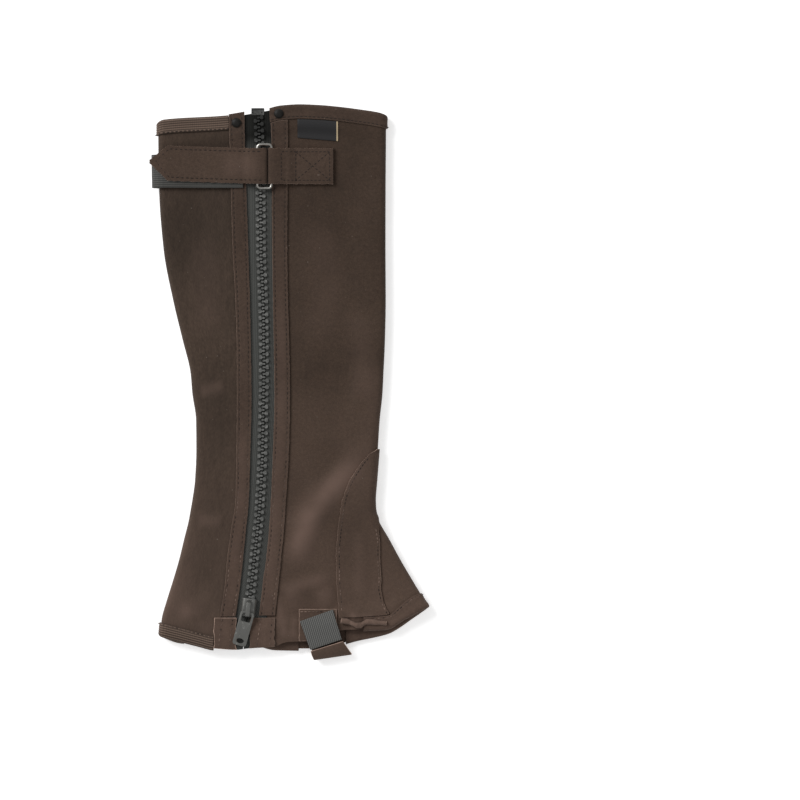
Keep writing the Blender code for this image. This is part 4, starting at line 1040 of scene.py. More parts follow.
def tooth_mesh():
    """A moulded tooth that reaches from its tape to just past the middle, lying along x."""
    root, neck, head = TOOTH["root"], TOOTH["neck"], TOOTH["head"]
    w, s = TOOTH["wide"] / 2, TOOTH["slim"] / 2
    lower = [
        (root, -w * 0.62), (BLOCK[0], -w), (BLOCK[1], -w), (neck - 0.25, -s), (neck, -s),
        (neck + 0.5, -s * 1.55), (head - 0.5, -s * 1.6), (head, -s * 0.8),
    ]
    outline = lower + [(x, -y) for x, y in reversed(lower)]
    middle = (root + head) / 2
    bm = bmesh.new()
    rings = []
    for z, inset in ((0.0, 0.0), (TOOTH["tall"] * 0.7, 0.0), (TOOTH["tall"], TOOTH["round"])):
        ring = [
            (middle + (x - middle) * (1 - inset * 0.5), y * (1 - inset), z) for x, y in outline
        ]
        rings.append([bm.verts.new((x * MM, y * MM, z * MM)) for x, y, z in ring])
    for low, high in zip(rings, rings[1:]):
        for i in range(len(outline)):
            j = (i + 1) % len(outline)
            bm.faces.new([low[i], low[j], high[j], high[i]])
    bm.faces.new(rings[-1])
    bm.faces.new(rings[0][::-1])
    bmesh.ops.recalc_face_normals(bm, faces=bm.faces)
    mesh = bpy.data.meshes.new("tooth")
    bm.to_mesh(mesh)
    bm.free()
    return bpy.data.objects.new("tooth", mesh)


# %% A tree that repeats a shape along lines
def socket(tree, name, kind, way="INPUT"):
    return tree.interface.new_socket(name=name, in_out=way, socket_type=kind)


def repeat_tree(name, alternate):
    """Points at a set pitch along the lines of a mesh, each with the shape turned to the line."""
    tree = bpy.data.node_groups.new(name, "GeometryNodeTree")
    socket(tree, "Geometry", "NodeSocketGeometry")
    socket(tree, "Pitch", "NodeSocketFloat")
    socket(tree, "Shape", "NodeSocketObject")
    socket(tree, "Finish", "NodeSocketMaterial")
    socket(tree, "Geometry", "NodeSocketGeometry", "OUTPUT")
    nodes, link = tree.nodes, tree.links.new
    given, result = nodes.new("NodeGroupInput"), nodes.new("NodeGroupOutput")
    curve = nodes.new("GeometryNodeMeshToCurve")
    spaced = nodes.new("GeometryNodeResampleCurve")
    spaced.mode = "LENGTH"
    tangent = nodes.new("GeometryNodeInputTangent")
    aim = nodes.new("FunctionNodeAlignRotationToVector")
    aim.axis = "Y" if alternate else "X"
    aim.pivot_axis = "Z"
    shape = nodes.new("GeometryNodeObjectInfo")
    copies = nodes.new("GeometryNodeInstanceOnPoints")
    real = nodes.new("GeometryNodeRealizeInstances")
    painted = nodes.new("GeometryNodeSetMaterial")
    link(given.outputs["Geometry"], curve.inputs["Mesh"])
    link(curve.outputs["Curve"], spaced.inputs["Curve"])
    link(given.outputs["Pitch"], spaced.inputs["Length"])
    link(tangent.outputs["Tangent"], aim.inputs["Vector"])
    link(given.outputs["Shape"], shape.inputs["Object"])
    link(spaced.outputs["Curve"], copies.inputs["Points"])
    link(shape.outputs["Geometry"], copies.inputs["Instance"])
    turned = aim.outputs["Rotation"]
    if alternate:
        index = nodes.new("GeometryNodeInputIndex")
        odd = nodes.new("ShaderNodeMath")
        odd.operation = "MODULO"
        odd.inputs[1].default_value = 2.0
        angle = nodes.new("ShaderNodeMath")
        angle.operation = "MULTIPLY"
        angle.inputs[1].default_value = math.pi
        about_z = nodes.new("ShaderNodeCombineXYZ")
        spin = nodes.new("FunctionNodeRotateRotation")
        spin.rotation_space = "LOCAL"
        link(index.outputs["Index"], odd.inputs[0])
        link(odd.outputs[0], angle.inputs[0])
        link(angle.outputs[0], about_z.inputs["Z"])
        link(turned, spin.inputs["Rotation"])
        link(about_z.outputs["Vector"], spin.inputs["Rotate By"])
        turned = spin.outputs["Rotation"]
    link(turned, copies.inputs["Rotation"])
    link(copies.outputs["Instances"], real.inputs["Geometry"])
    link(real.outputs["Geometry"], painted.inputs["Geometry"])
    link(given.outputs["Finish"], painted.inputs["Material"])
    link(painted.outputs["Geometry"], result.inputs["Geometry"])
    return tree


def repeated(name, lines, pitch, shape, finish, tree):
    """A plain mesh of a shape repeated along lines of points in mm."""
    mesh = bpy.data.meshes.new(name)
    points, edges = [], []
    for line in lines:
        first = len(points)
        points += [tuple(float(value) * MM for value in point) for point in line]
        edges += [(first + i, first + i + 1) for i in range(len(line) - 1)]
    mesh.from_pydata(points, edges, [])
    obj = bpy.data.objects.new(name, mesh)
    bpy.context.scene.collection.objects.link(obj)
    modifier = obj.modifiers.new("repeat", "NODES")
    modifier.node_group = tree
    values = dict(Pitch=pitch * MM, Shape=shape, Finish=finish)
    for item in tree.interface.items_tree:
        if item.item_type == "SOCKET" and item.in_out == "INPUT" and item.name in values:
            modifier[item.identifier] = values[item.name]
    made = baked(obj)
    print(f"{name}: {len(made.data.polygons)} faces on {len(lines)} lines")
    return made


ALTERNATING = repeat_tree("repeat_alternating", True)
ALONG = repeat_tree("repeat_along", False)


# %% Zip chain
CHAIN_D, CHAIN_TOP, CHAIN_LOW, TOOTH_PITCH = 0.95, 201.6, -162.6, 2.5


def moulded(name, dark, light, rough, specular, dark_above=0.186):
    """Moulded plastic: near black, with scuffed high spots, and painted shade above a given height."""
    shades = Shades(name)
    scuff = shades.between(shades.noise(700.0, 3.0), 0.45, 0.75)
    colour = shades.mix(scuff, dark, light)
    normal = shades.bump(shades.noise(2600.0, 2.0), 0.00008, 0.5)
    # Above the given height the plastic is painted near black as painted shade.
    colour = shades.mix(shaded_above(shades, dark_above), colour, PAINTED_SHADE_PLASTIC)
    gloss = shades.between(scuff, 0.0, 1.0, rough, rough + 0.2)
    return shades.finish(colour, gloss, normal, specular=specular)


# The teeth get painted shade at the zip's upper end. The box's level lies above the box, so the box
# gets none.
TEETH = moulded("zip_teeth", (0.080, 0.081, 0.076), (0.20, 0.20, 0.19), 0.4, 0.4)
BOX_PLASTIC = moulded("box_plastic", (0.036, 0.036, 0.034), (0.075, 0.075, 0.070), 0.45, 0.4, 0.25)


def line_on(fold, run, d, high, low, count=220):
    """Points along one column of the cloth, from one height to another."""
    y = np.linspace(high, low, count)
    return place(fold, y, run(y), d + 0 * y)


zip_run = on_side("front", "zip", 1)
chain_line = line_on("front", zip_run, CHAIN_D, CHAIN_TOP, CHAIN_LOW)
zip_chain = repeated(
    "zip_chain_teeth", [chain_line], TOOTH_PITCH, tooth_mesh(), TEETH, ALTERNATING
)
worn(zip_chain, "chap", "zip_teeth", "zip_chain")

# %% [markdown]
# ## The upper strap
#
# Elastic webbing goes round the back of the calf. A pointed tab of hide covers it, turns round
# the left bar of a wire ring and goes back under itself, and a short anchor holds the right bar.
# Each is a ribbon: a path of places along it, seen from the side, with a low and a high edge.

# %% Strap elastic
ELASTIC = dict(end=-37.5, low=148.2, high=173.4)
RING = dict(left=-26.6, right=-15.9, low=148.0, high=181.2, corner=2.4, wire=1.0, z=11.5)
LOOP_R, STRAP_THICK = 2.0, 1.2
SLACK, SLACK_OUTER, SLACK_INNER = 3.1, 3.2, 2.0
ANCHOR = dict(end=30.8, low=151.2, high=178.3, step=-2.8)
TAB_EDGE = [
    dict(x=-108.3, low=166.9, high=169.1), dict(x=-94.6, low=153.5, high=180.1),
    dict(x=-30, low=151.3, high=178.2), dict(x=-15, low=151.3, high=178.2),
]


def level_rows(run, high, low, count):
    """Rows at the same heights in every column."""
    wide = np.ones(run(np.zeros(1)).shape)
    return np.linspace(high, low, count)[:, None] * wide[None, :]


def strap_lift(s):
    """How far the elastic stands off the calf panel, with a slack bulge round the fold."""
    slack = SLACK * np.exp(-((s / np.where(s > 0, SLACK_OUTER, SLACK_INNER)) ** 2))
    return ON_WALL + (ON_FACING - ON_WALL) * smooth((s + ARC) / (2 * ARC)) + slack


strap_end = on_side("back", "strip", -1, -GAP)
strap_run = strip_of(on_side("back", ELASTIC["end"]), strap_end, (30, 14, 6))
strap_rows = level_rows(strap_run, ELASTIC["high"], ELASTIC["low"], 15)
strap_grid = grid("back", strap_run, strap_lift, rows=strap_rows)
strap_elastic = sewn("strap_elastic", [strap_grid], LAYER, STRAP_ELASTIC, None, 0.3)
as_cloth(strap_elastic, "webbing")


# %% Ribbons
def eased(line, steps=4):
    """A smooth curve through the points of a line."""
    line = np.array(line, float)
    padded = np.vstack([2 * line[0] - line[1], line, 2 * line[-1] - line[-2]])
    made = []
    for i in range(len(line) - 1):
        p0, p1, p2, p3 = padded[i : i + 4]
        for t in np.arange(steps) / steps:
            bend = (2 * p0 - 5 * p1 + 4 * p2 - p3) * t * t + (3 * p1 - p0 - 3 * p2 + p3) * t**3
            made.append(0.5 * (2 * p1 + (p2 - p0) * t + bend))
    return np.array([*made, line[-1]])


def ribbon_grid(path, edges_at, wide, shape=None):
    """Points of a ribbon, where path(t) gives its side view for a share t of its width."""
    shares = np.linspace(0, 1, wide + 1)
    lines = [eased(path(t)) for t in shares]
    length = np.concatenate([[0], np.cumsum(np.hypot(*np.diff(lines[0], axis=0).T))])
    columns = []
    for t, line in zip(shares, lines):
        low, high = edges_at(line[:, 0])
        y = low + (high - low) * t
        z = line[:, 1] + (0 if shape is None else shape(t))
        columns.append(np.stack([line[:, 0], y, z], axis=-1))
    points = np.stack(columns, axis=1)
    runs = np.stack([length[:, None] + 0 * points[..., 1], points[..., 1]], axis=-1)
    return points, runs


def half_turn(x, z, radius, start, end, steps=6):
    """Places round a loop, from one angle in degrees to another."""
    turns = [math.radians(start + (end - start) * i / steps) for i in range(steps + 1)]
    return [(x + radius * math.cos(turn), z + radius * math.sin(turn)) for turn in turns]


# %% Tab and anchor
TAB_PLACES = (-108.3, -103, -97.7, -94.6, -88, -80, -72, -64, -56, -48, -42, -37)
TAB_OVER = ON_FACING + LAYER / 2 + GAP + STRAP_THICK / 2
TAB_DROOP, STRAP_Y = 0.12, 165.0
CALF_TOP = float(fold_middle("back", np.array(STRAP_Y)))


def straight_tip(x, key):
    """The tab's edge: straight sides that taper to the point."""
    marks = [row["x"] for row in TAB_EDGE]
    return np.interp(x, marks, [row[key] for row in TAB_EDGE])


def tab_edges(x):
    """The tab's two cut edges, which waver a little, but not at the point."""
    size = 0.16 * np.clip((x - TAB_EDGE[0]["x"]) / 12.0, 0.0, 1.0)
    low, high = straight_tip(x, "low"), straight_tip(x, "high")
    return low - waver(x, size), high + waver(x + 3.0, size)


def tab_path(t):
    """The tab from the side: over the calf to the ring, round its left bar and back."""
    line = []
    for x in TAB_PLACES:
        y = straight_tip(x, "low") * (1 - t) + straight_tip(x, "high") * t
        z = float(upper_z(np.array(max(x, CALF_TOP)), np.array(y)))
        line.append((x, z + TAB_OVER - TAB_DROOP * max(0.0, CALF_TOP - x)))
    z = RING["z"]
    line += [(-33, z + 1.1), (-29.5, z + 1.85), (-26, z + LOOP_R), (-23.5, z + LOOP_R)]
    return line + half_turn(-21.4, z, LOOP_R, 90, -90) + [(-30.0, z - LOOP_R)]


def sewn_dip(t):
    """The rows of stitches near the two edges of the tab pull it in a little."""
    return -sum(0.2 * np.exp(-(((t * TAB_WIDE - row) / 0.8) ** 2)) for row in STRAP_ROWS)


TAB_WIDE, STRAP_ROWS = 27.0, (2.3, 24.7)
tab_grid = ribbon_grid(tab_path, tab_edges, 24, sewn_dip)
strap_tab = sewn("strap_tab", [tab_grid], STRAP_THICK, STRAP_HIDE, CUT_EDGE, 0.45)
as_cloth(strap_tab, "grained_hide")


def anchor_path(t):
    """The anchor from the side: from its end under the ring's right bar and back on top."""
    y = ANCHOR["low"] + (ANCHOR["high"] - ANCHOR["low"]) * t
    z, step, apart = RING["z"], ANCHOR["step"], STRAP_THICK + GAP
    on_panel = HALF + GAP + STRAP_THICK / 2

    def panel_z(x):
        return float(upper_z(np.array(float(x)), np.array(y))) + on_panel

    under = [(x, panel_z(x)) for x in (ANCHOR["end"], 22, 13, 6, 1.6)]
    under += [(step, z - LOOP_R), (-9, z - LOOP_R)]
    above = [(-12.6, z + 1.75), (-8.6, z + 0.55), (-5.4, z - 0.3), (step, z - 0.48)]
    above += [(x, panel_z(x) + apart) for x in (2.1, 6, 13, 22, ANCHOR["end"])]
    return under + half_turn(RING["right"], z, LOOP_R, 270, 90) + above


def anchor_edges(x):
    return ANCHOR["low"] - waver(x, 0.18), ANCHOR["high"] + waver(x + 5.0, 0.18)


anchor_grid = ribbon_grid(anchor_path, anchor_edges, 18)
strap_anchor = sewn("strap_anchor", [anchor_grid], STRAP_THICK, STRAP_HIDE, CUT_EDGE, 0.45)
as_cloth(strap_anchor, "grained_hide")


# %% Label
LABEL = dict(left=3.8, right=34.6, back=9.6, low_left=186.4, low_right=183.8, thick=0.5)


def label_rows(run):
    top = rim_y("front", run, "top") - LABEL["back"]
    end = np.linspace(LABEL["low_left"], LABEL["low_right"], len(top))
    return np.array([top + (end - top) * t for t in np.linspace(0, 1, 10)])


label_run = across([on_side("front", LABEL[key]) for key in ("left", "right")], (20,))
label_grid = grid("front", label_run, HALF + GAP + 0.3, rows=label_rows(label_run))
label = sewn("label", [label_grid], LABEL["thick"], LABEL_CLOTH, None, 0.15)
as_cloth(label, "label_cloth")

# %% [markdown]
# ## The foot strap
#
# A short piece of elastic is sewn to a patch on the outer side, and a hide sleeve carries on from
# it under the hem to a patch on the inner side. It follows one path of edge points, with the
# same points that the solids have.

# %% Foot strap
FOOT = [
    dict(left=(5.7, -180.9), right=(30.8, -172.1), z=None),
    dict(left=(8.5, -188.5), right=(32.9, -179.6), z=None),
    dict(left=(11.4, -196.5), right=(35.6, -188.0), z=12.0),
    dict(left=(13.6, -202.6), right=(37.6, -194.6), z=11.8),
    dict(left=(14.4, -205.8), right=(41.0, -199.8), z=10.9),
    dict(left=(15.6, -209.0), right=(44.0, -204.4), z=8.6),
    dict(left=(16.4, -210.2), right=(45.0, -206.0), z=6.1),
    dict(left=(16.4, -209.2), right=(44.5, -205.4), z=3.4),
    dict(left=(15.6, -206.6), right=(43.0, -203.8), z=1.2),
    dict(left=(14.4, -203.4), right=(40.5, -201.6), z=0.6),
    dict(left=(12.0, -197.8), right=(37.4, -197.4), z=0.6),
    dict(left=(10.8, -194.6), right=(36.0, -194.6), z=0.6),
]
FOOT_LIFT, FOOT_SPLIT, EASE, FOOT_WIDE = 4.0, 3, 4, 27.0


def foot_points():
    """Points of the whole strap, along it and across it."""
    sides = []
    for key in ("left", "right"):
        line = []
        for row in FOOT:
            x, y = row[key]
            on_cloth = float(upper_z(np.array(x), np.array(y))) + FOOT_LIFT
            line.append((x, y, on_cloth if row["z"] is None else row["z"]))
        sides.append(eased(line, EASE))
    left, right = sides
    return np.stack([left + (right - left) * t for t in np.linspace(0, 1, 13)], axis=1)


def foot_part(first, last):
    """The points and runs of a part of the strap, between two of its rows."""
    points = foot_points()[first:last]
    steps = np.linalg.norm(np.diff(points, axis=0), axis=2)
    length = np.concatenate([np.zeros((1, steps.shape[1])), np.cumsum(steps, axis=0)])
    wide = np.linspace(0, FOOT_WIDE, points.shape[1])[None, :] + 0 * length
    return points, np.stack([wide, length], axis=-1)


split = FOOT_SPLIT * EASE
foot_elastic = sewn("foot_elastic", [foot_part(0, split + 1)], STRAP_THICK, FOOT_ELASTIC, None, 0.3)
foot_sleeve = sewn("foot_sleeve", [foot_part(split + 1, None)], STRAP_THICK, STRAP_HIDE, CUT_EDGE, 0.25)
as_cloth(foot_elastic, "webbing")
as_cloth(foot_sleeve, "grained_hide")


# %% Patches
OUTER_PATCH = dict(left=5.0, right=33.6, high=-171.8)
INNER_PATCH = dict(left=7.5, right=36.4, high=-165.0)


def patch_rows(run):
    high, low = OUTER_PATCH["high"], rim_y("front", run, "low") + GAP
    return np.array([high + (low - high) * t for t in np.linspace(0, 1, 10)])


sides = [wavering(on_side("front", OUTER_PATCH[key]), 1, 0.15) for key in ("left", "right")]
outer_run = across(sides, (16,))
outer_grid = grid("front", outer_run, ON_WALL, rows=patch_rows(outer_run))
patch_outer = sewn("patch_outer", [outer_grid], LAYER, FRONT_HIDE, CUT_EDGE, 0.25)
inner_run = across([on_side("front", INNER_PATCH[key], -1) for key in ("left", "right")], (16,))
inner_rows = level_rows(inner_run, INNER_PATCH["high"], FOOT[-1]["left"][1] + GAP, 12)
inner_grid = grid("front", inner_run, ON_WALL, rows=inner_rows)
patch_inner = sewn("patch_inner", [inner_grid], LAYER, FRONT_HIDE, CUT_EDGE, 0.25)
as_cloth(patch_outer, "grained_hide")
as_cloth(patch_inner, "grained_hide")

# %% [markdown]
# Beside the foot strap the raw hem has curled up on itself. A narrow strip of hide with a C-shaped
# section follows the hem there, and its radius changes along it as a real curl's does.

# %% Curled hem
HEM_CURL = [
    (36.9, -180.4), (41.4, -181.0), (45.2, -182.4), (49.0, -183.9), (52.0, -183.8),
    (54.3, -182.4), (57.4, -181.2), (63.5, -181.7), (71.5, -182.4),
]
CURL_R, CURL_LIFT, CURL_THICK, CURL_ENDS = 1.5, 3.2, 0.9, (-30, 215)


def curl_grid():
    """The points and runs of a C-shaped section that follows the hem."""
    line = eased(HEM_CURL, 5)
    heading = np.gradient(line, axis=0)
    heading = heading / np.linalg.norm(heading, axis=1)[:, None]
    turns = np.radians(np.linspace(*CURL_ENDS, 13))
    step = np.arange(len(line))
    radius = CURL_R + 0.3 * np.sin(0.45 * step) + 0.12 * np.sin(1.3 * step + 1)
    out = radius[:, None] * np.cos(turns)[None, :]
    x = line[:, :1] + heading[:, 1:] * out
    y = line[:, 1:] - heading[:, :1] * out
    ground = upper_z(line[:, 0], line[:, 1])[:, None] + CURL_LIFT
    z = ground + radius[:, None] * np.sin(turns)[None, :]
    runs = np.stack([step[:, None] + 0 * out, turns[None, :] * radius[:, None]], axis=-1)
    return np.stack([x, y, z], axis=-1), runs


CURL_HIDE = hide("curl_hide", (0.085, 0.056, 0.043), (0.160, 0.108, 0.084), (1.0, 1.0))
hem_curl = sewn("hem_curl", [curl_grid()], CURL_THICK, CURL_HIDE, CUT_EDGE, 0.3)
worn(hem_curl, "chap", "grained_hide")
print("curled hem:", round(surface(hem_curl) / 2 * 1e6), "square mm")

# %% [markdown]
# ## Metal and moulded parts
#
# The slider and its pull are cast metal with a dark plating that has rubbed off the high spots.
# Their solids have the right shape but sharp edges, so a merged copy of each gets a Bevel. The
# pull's copy rides on the pull's own body and turns with it. The zip's box is a moulded block
# with a square well, the ring is a bent wire, and the snap caps are turned from a profile.

# %% Metal finishes
def plated(name, dark, worn_colour, rough, wear=0.5, metal=0.85, specular=0.5):
    """Plated or enamelled metal with worn patches and fine scratches."""
    shades = Shades(name)
    spots = shades.noise(420.0, 4.0, roughness=0.65)
    patch = shades.between(spots, 0.72 - 0.25 * wear, 0.85 - 0.2 * wear)
    drawn_out = shades.node("ShaderNodeMapping", Vector=shades.object, Scale=(6.0, 1.0, 1.0))
    scratches = shades.noise(900.0, 2.0, drawn_out.outputs[0])
    colour = shades.mix(patch, dark, worn_colour)
    gloss = shades.between(scratches, 0.3, 0.7, rough, rough + 0.18)
    normal = shades.bump(scratches, 0.00005, 0.4)
    return shades.finish(colour, gloss, normal, metal=metal, specular=specular)


SLIDER_METAL = plated("slider_metal", (0.17, 0.17, 0.16), (0.34, 0.34, 0.32), 0.38, 0.5)
RING_METAL = plated("ring_metal", (0.42, 0.41, 0.38), (0.70, 0.69, 0.66), 0.2, 0.8, 1.0)
SNAP_ENAMEL = plated("snap_enamel", (0.006, 0.005, 0.004), (0.03, 0.022, 0.018), 0.45, 0.3, 0.0, 0.25)


# %% Slider, pull and box
SOLID_WELD, FLAT_ANGLE, HARD_ANGLE = 0.000002, 0.02, math.radians(35)


def softened(node, name, finish, radius):
    """A merged copy of a solid's mesh with rounded edges, given in mm."""
    bm = bmesh.new()
    bm.from_mesh(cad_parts[node].data)
    bmesh.ops.remove_doubles(bm, verts=bm.verts, dist=SOLID_WELD)
    inner = [edge for edge in bm.edges if len(edge.link_faces) == 2]
    flat = [edge for edge in inner if edge.calc_face_angle() < FLAT_ANGLE]
    bmesh.ops.dissolve_edges(bm, edges=flat, use_verts=True)
    mesh = bpy.data.meshes.new(name)
    bm.to_mesh(mesh)
    bm.free()
    mesh.materials.clear()
    mesh.materials.append(finish)
    obj = bpy.data.objects.new(name, mesh)
    bpy.context.scene.collection.objects.link(obj)
    edge = obj.modifiers.new("edge", "BEVEL")
    edge.width, edge.segments = radius * MM, 3
    edge.limit_method, edge.angle_limit = "ANGLE", HARD_ANGLE
    return baked(obj)


slider = softened("zip_slider", "slider_casting", SLIDER_METAL, 0.35)
pull = softened("zip_pull", "pull_plate", SLIDER_METAL, 0.3)
worn(slider, "chap", "dark_metal", "zip_slider")
worn(pull, "pull", "dark_metal", "zip_pull")

BOX_X, BOX_Y, BOX_EDGE = (-31.2, -21.4), (203.4, 208.8), 0.5


def zip_box_mesh(depth=1.3, wall=1.3):
    """The box that the slider would meet when open: a moulded block with a square well."""
    low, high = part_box("zip_box")
    low = (BOX_X[0] * MM, BOX_Y[0] * MM, low[2])
    high = (BOX_X[1] * MM, BOX_Y[1] * MM, high[2])
    bm = bmesh.new()
    bmesh.ops.create_cube(bm, size=1.0)
    size = [b - a for a, b in zip(low, high)]
    bmesh.ops.scale(bm, vec=size, verts=bm.verts)
    bmesh.ops.translate(bm, vec=[(a + b) / 2 for a, b in zip(low, high)], verts=bm.verts)
    top = max(bm.faces, key=lambda face: face.calc_center_median().z)
    bmesh.ops.inset_region(bm, faces=[top], thickness=wall * MM, use_even_offset=True)
    bmesh.ops.translate(bm, vec=(0, 0, -depth * MM), verts=top.verts)
    mesh = bpy.data.meshes.new("box_casting")
    bm.to_mesh(mesh)
    bm.free()
    mesh.materials.append(BOX_PLASTIC)
    return mesh


box_casting = bpy.data.objects.new("box_casting", zip_box_mesh())
bpy.context.scene.collection.objects.link(box_casting)
rounding = box_casting.modifiers.new("edge", "BEVEL")
rounding.width, rounding.segments, rounding.limit_method = BOX_EDGE * MM, 3, "ANGLE"
baked(box_casting)
worn(box_casting, "chap", "dark_metal", "zip_box")


# %% Ring
def rounded_ring(steps=8):
    """Points round the ring's wire: a rectangle with round corners."""
    half_x = (RING["right"] - RING["left"]) / 2
    middle_x, r = (RING["right"] + RING["left"]) / 2, RING["corner"]
    corners = [
        (half_x - r, RING["high"] - r, 0), (r - half_x, RING["high"] - r, 90),
        (r - half_x, RING["low"] + r, 180), (half_x - r, RING["low"] + r, 270),
    ]
    points = []
    for x, y, start in corners:
        for i in range(steps + 1):
            turn = math.radians(start + 90 * i / steps)
            points.append((middle_x + x + r * math.cos(turn), y + r * math.sin(turn)))
    return points


curve = bpy.data.curves.new("ring_wire", "CURVE")
curve.dimensions, curve.bevel_depth, curve.bevel_resolution = "3D", RING["wire"] * MM, 6
outline = rounded_ring()
spline = curve.splines.new("POLY")
spline.points.add(len(outline) - 1)
for point, (x, y) in zip(spline.points, outline):
    point.co = (x * MM, y * MM, RING["z"] * MM, 1)
spline.use_cyclic_u = True
curve.materials.append(RING_METAL)
ring_curve = bpy.data.objects.new("ring_curve", curve)
bpy.context.scene.collection.objects.link(ring_curve)
depsgraph = bpy.context.evaluated_depsgraph_get()
ring_mesh = bpy.data.meshes.new_from_object(ring_curve.evaluated_get(depsgraph))
ring_mesh.shade_smooth()
ring = bpy.data.objects.new("ring_wire", ring_mesh)
bpy.context.scene.collection.objects.link(ring)
bpy.data.objects.remove(ring_curve)
worn(ring, "chap", "dark_metal", "ring")

# %% Snap caps
SNAP_PROFILE = [
    (0.0, 1.7), (1.2, 1.66), (2.2, 1.48), (2.9, 1.12), (3.2, 0.8), (3.3, 0.62), (3.45, 0.6),
    (3.6, 0.45), (3.6, 0.1), (3.5, 0.0), (0.0, 0.0),
]
SNAP_WELD = 0.00001


def turned_cap(name, node):
    """A domed cap with a narrow rim, turned round the middle of its solid."""
    low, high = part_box(node)
    bm = bmesh.new()
    points = [bm.verts.new((r * MM, 0, z * MM)) for r, z in SNAP_PROFILE]
    edges = [bm.edges.new(pair) for pair in zip(points, points[1:])]
    bmesh.ops.spin(
        bm, geom=points + edges, cent=(0, 0, 0), axis=(0, 0, 1), angle=2 * math.pi, steps=40
    )
    bmesh.ops.remove_doubles(bm, verts=bm.verts, dist=SNAP_WELD)
    bmesh.ops.recalc_face_normals(bm, faces=bm.faces)
    middle = ((low[0] + high[0]) / 2, (low[1] + high[1]) / 2, low[2])
    bmesh.ops.translate(bm, vec=middle, verts=bm.verts)
    mesh = bpy.data.meshes.new(name)
    bm.to_mesh(mesh)
    bm.free()
    mesh.shade_smooth()
    mesh.materials.append(SNAP_ENAMEL)
    cap = bpy.data.objects.new(name, mesh)
    bpy.context.scene.collection.objects.link(cap)
    return worn(cap, "chap", "dark_metal", node)


turned_cap("snap_cap_left", "snap_left")
turned_cap("snap_cap_right", "snap_right")

# %% [markdown]
# ## Stitches
#
# A sewing machine leaves a row of short beads a few millimetres apart, which sink into the hide.
# The tree from the zip repeats one bead along every seam line. The lines are columns of the
# pattern, so the stitches lie on the cloth wherever it bends.

# %% A stitch
def bead(name, long, wide, tall):
    """A low rounded bead that lies along x, with sizes in mm."""
    bm = bmesh.new()
    bmesh.ops.create_uvsphere(bm, u_segments=8, v_segments=6, radius=0.5)
    lying = Matrix.Rotation(math.pi / 2, 3, "Y")
    bmesh.ops.rotate(bm, cent=(0, 0, 0), matrix=lying, verts=bm.verts)
    bmesh.ops.scale(bm, vec=(long * MM, wide * MM, tall * MM), verts=bm.verts)
    mesh = bpy.data.meshes.new(name)
    bm.to_mesh(mesh)
    bm.free()
    mesh.shade_smooth()
    return bpy.data.objects.new(name, mesh)


STITCH = bead("stitch", 2.3, 0.75, 0.5)
PITCH, SUNK = 3.7, 0.2
ON_BAND = ON_WALL + LAYER / 2 - SUNK
ON_UNDER = ON_BAND - 0.05


def edge_line(fold, edge, side, add, d, high, low):
    """A line beside an edge of the pattern, add mm to its right."""
    return line_on(fold, on_side(fold, edge, side, add), d, high, low)


def stitched(name, lines, finish=THREAD, pitch=PITCH):
    made = repeated(name, lines, pitch, STITCH, finish, ALONG)
    return worn(made, "chap", "grained_hide")


# %% Rows beside the zip and on the inner side
facing_rows = [
    edge_line("front", "far", 1, ZIP_ROW, ON_BAND, 200.0, -176.0),
    edge_line("front", "near", 1, -ZIP_ROW, ON_BAND, 201.0, -176.0),
    edge_line("front", "right", 1, ZIP_ROW, ON_BAND, 196.0, -175.0),
    edge_line("front", "wide", 1, -ZIP_ROW, ON_BAND, 197.0, -175.0),
]
ON_LEFT_END, ON_RIGHT_END = 3.0, 2.88
facing_rows += [
    edge_line("front", "far", 1, ZIP_ROW, ON_LEFT_END, -180.0, -199.0),
    edge_line("front", "near", 1, -ZIP_ROW, ON_LEFT_END, -180.0, -199.0),
    edge_line("front", "right", 1, ZIP_ROW, ON_RIGHT_END, -180.0, -198.0),
    edge_line("front", "wide", 1, -ZIP_ROW, ON_RIGHT_END, -180.0, -198.0),
]
strip_rows = [
    edge_line("back", "strip" if row > 0 else "over", -1, row, ON_UNDER, 190.0, -188.0)
    for row in INNER_ROWS
]
stitched("stitches_facings", facing_rows)
stitched("stitches_inner_strip", strip_rows)


# %% Rows of the ankle
def moved(run, side, add):
    """The run add mm nearer to the crest."""
    return lambda y: run(y) - side * add


ANKLE_SIDES = ((1, ON_BAND + SUNK), (-1, ON_UNDER))
ankle_rows = [
    line_on("front", moved(overlay_run(side), side, 2.4), d, -58.0, -172.0) for side, d in ANKLE_SIDES
]
seam_rows = [
    line_on("front", moved(seam_run(side), side, -1.6), d, -112.0, -174.0) for side, d in ANKLE_SIDES
]
stitched("stitches_ankle", ankle_rows + seam_rows, pitch=2.9)


# %% Rows of the strap
def tab_top(x, y):
    """The height of the tab's face, from the part of its path that lies on top."""
    low, high = straight_tip(x, "low"), straight_tip(x, "high")
    line = np.array(tab_path((y - low) / (high - low))[: len(TAB_PLACES) + 4])
    return float(np.interp(x, line[:, 0], line[:, 1])) + STRAP_THICK / 2 - 0.1


def strap_line(points, top):
    """A line over a piece through corner points, about 1 mm at a time."""
    line = []
    for (ax, ay), (bx, by) in zip(points, points[1:]):
        count = max(2, int(math.hypot(bx - ax, by - ay)))
        for i in range(count):
            x, y = ax + (bx - ax) * i / count, ay + (by - ay) * i / count
            line.append((x, y, top(x, y)))
    return line


def anchor_top(x, y):
    """The height of the anchor's face, from the part of its path that lies on top."""
    share = (y - ANCHOR["low"]) / (ANCHOR["high"] - ANCHOR["low"])
    line = np.array(anchor_path(share)[-9:])
    return float(np.interp(x, line[:, 0], line[:, 1])) + STRAP_THICK / 2 - 0.05


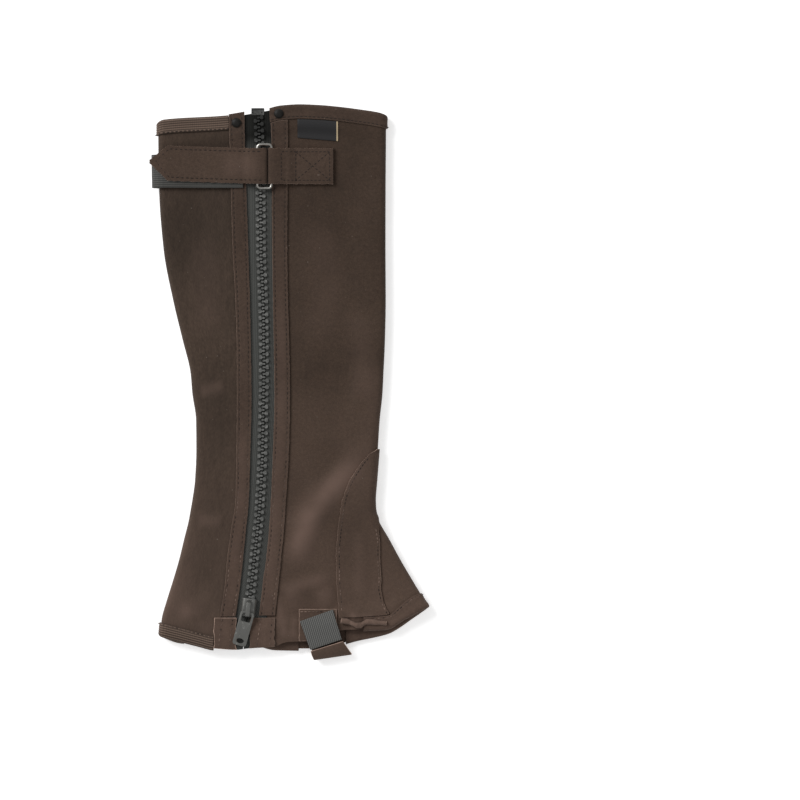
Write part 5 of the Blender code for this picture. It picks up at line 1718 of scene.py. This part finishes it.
tab_corners = [(-24.5, 153.9), (-93.6, 156.1), (-103.6, 168.0), (-93.6, 177.5), (-24.5, 175.6)]
box = [(2.5, 154.0), (28.3, 154.0), (28.3, 175.6), (2.5, 175.6)]
anchor_rows = [
    strap_line([*box, box[0]], anchor_top),
    strap_line([box[0], box[2]], anchor_top),
    strap_line([box[1], box[3]], anchor_top),
    strap_line([box[0], (-8.5, 154.0), (-8.5, 175.6), box[3]], anchor_top),
]
stitched("stitches_tab", [strap_line(tab_corners, tab_top)])
stitched("stitches_anchor", anchor_rows, pitch=3.0)


# %% Rows of the bindings
def rim_line(fold, edges, counts, rim, back, d):
    """A line along a binding, so far back from the edge of the cloth."""
    run = across(edges, counts)
    y = rim_y(fold, run, rim) + (-back if rim == "top" else back)
    return place(fold, y, run(y), d + 0 * y)


ON_BINDING = BIND_MIDDLE + BIND_WALL / 2
shin_top = [on_side("front", "right", 1, 1.0), *through, on_side("front", "over", -1, 2.0)]
calf_top = [on_side("back", "far", 1, -1.0), *through, on_side("back", "strip", -1, -1.0)]
calf_low = [on_side("back", -62.0), *through, on_side("back", "strip", -1, -1.0)]
gusset_low = [on_side("front", 56.0), *through, on_side("front", 42.0, -1)]
inner_low = [on_side("front", "over", -1, 2.0), on_side("front", 6.0, -1)]
binding_rows = [
    rim_line("front", shin_top, (54, 12, 60), "top", BIND_ROW, ON_BINDING - 0.1),
    rim_line("back", calf_top, (30, 12, 6), "top", ELASTIC_ROW, ON_BINDING + 0.25),
    rim_line("back", calf_low, (30, 12, 6), "low", ELASTIC_ROW, ON_BINDING + 0.25),
    rim_line("front", gusset_low, (30, 12, 30), "low", BIND_ROW, ON_BINDING - 0.15),
    rim_line("front", inner_low, (40,), "low", BIND_ROW, ON_BINDING - 0.15),
]
stitched("stitches_bindings", binding_rows, pitch=3.2)

# %% Rows of the shin and the patch
SHIN_CURVE = [
    dict(y=183.2, outer=57.8, inner=50.2), dict(y=161.9, outer=55.5, inner=47.9),
    dict(y=139.1, outer=52.4, inner=44.8), dict(y=116.3, outer=48.6, inner=40.3),
    dict(y=97.3, outer=44.1, inner=35.0), dict(y=74.5, outer=38.8, inner=28.9),
    dict(y=55.5, outer=31.9, inner=22.8), dict(y=40.3, outer=25.1, inner=15.2),
    dict(y=25.1, outer=13.7, inner=5.3), dict(y=8.4, outer=-1.5, inner=-9.9),
    dict(y=-6.8, outer=-20.5, inner=-20.5), dict(y=-16.7, outer=-43.3, inner=-43.3),
]


def shin_run(key):
    """The run of one row of the curved double seam on the inner side."""
    x_at = along(SHIN_CURVE, key)
    return lambda y: run_to("front", x_at(y), y, -1)


shin_rows = [line_on("front", shin_run(key), HALF, 183.0, -15.0) for key in ("outer", "inner")]
stitched("stitches_shin", shin_rows, PALE_THREAD)


def patch_top(x, y):
    return float(upper_z(np.array(x), np.array(y))) + ON_BAND + SUNK


patch_line = strap_line([(7.2, -173.8), (31.4, -173.8)], patch_top)
stitched("stitches_patch", [patch_line], pitch=2.8)
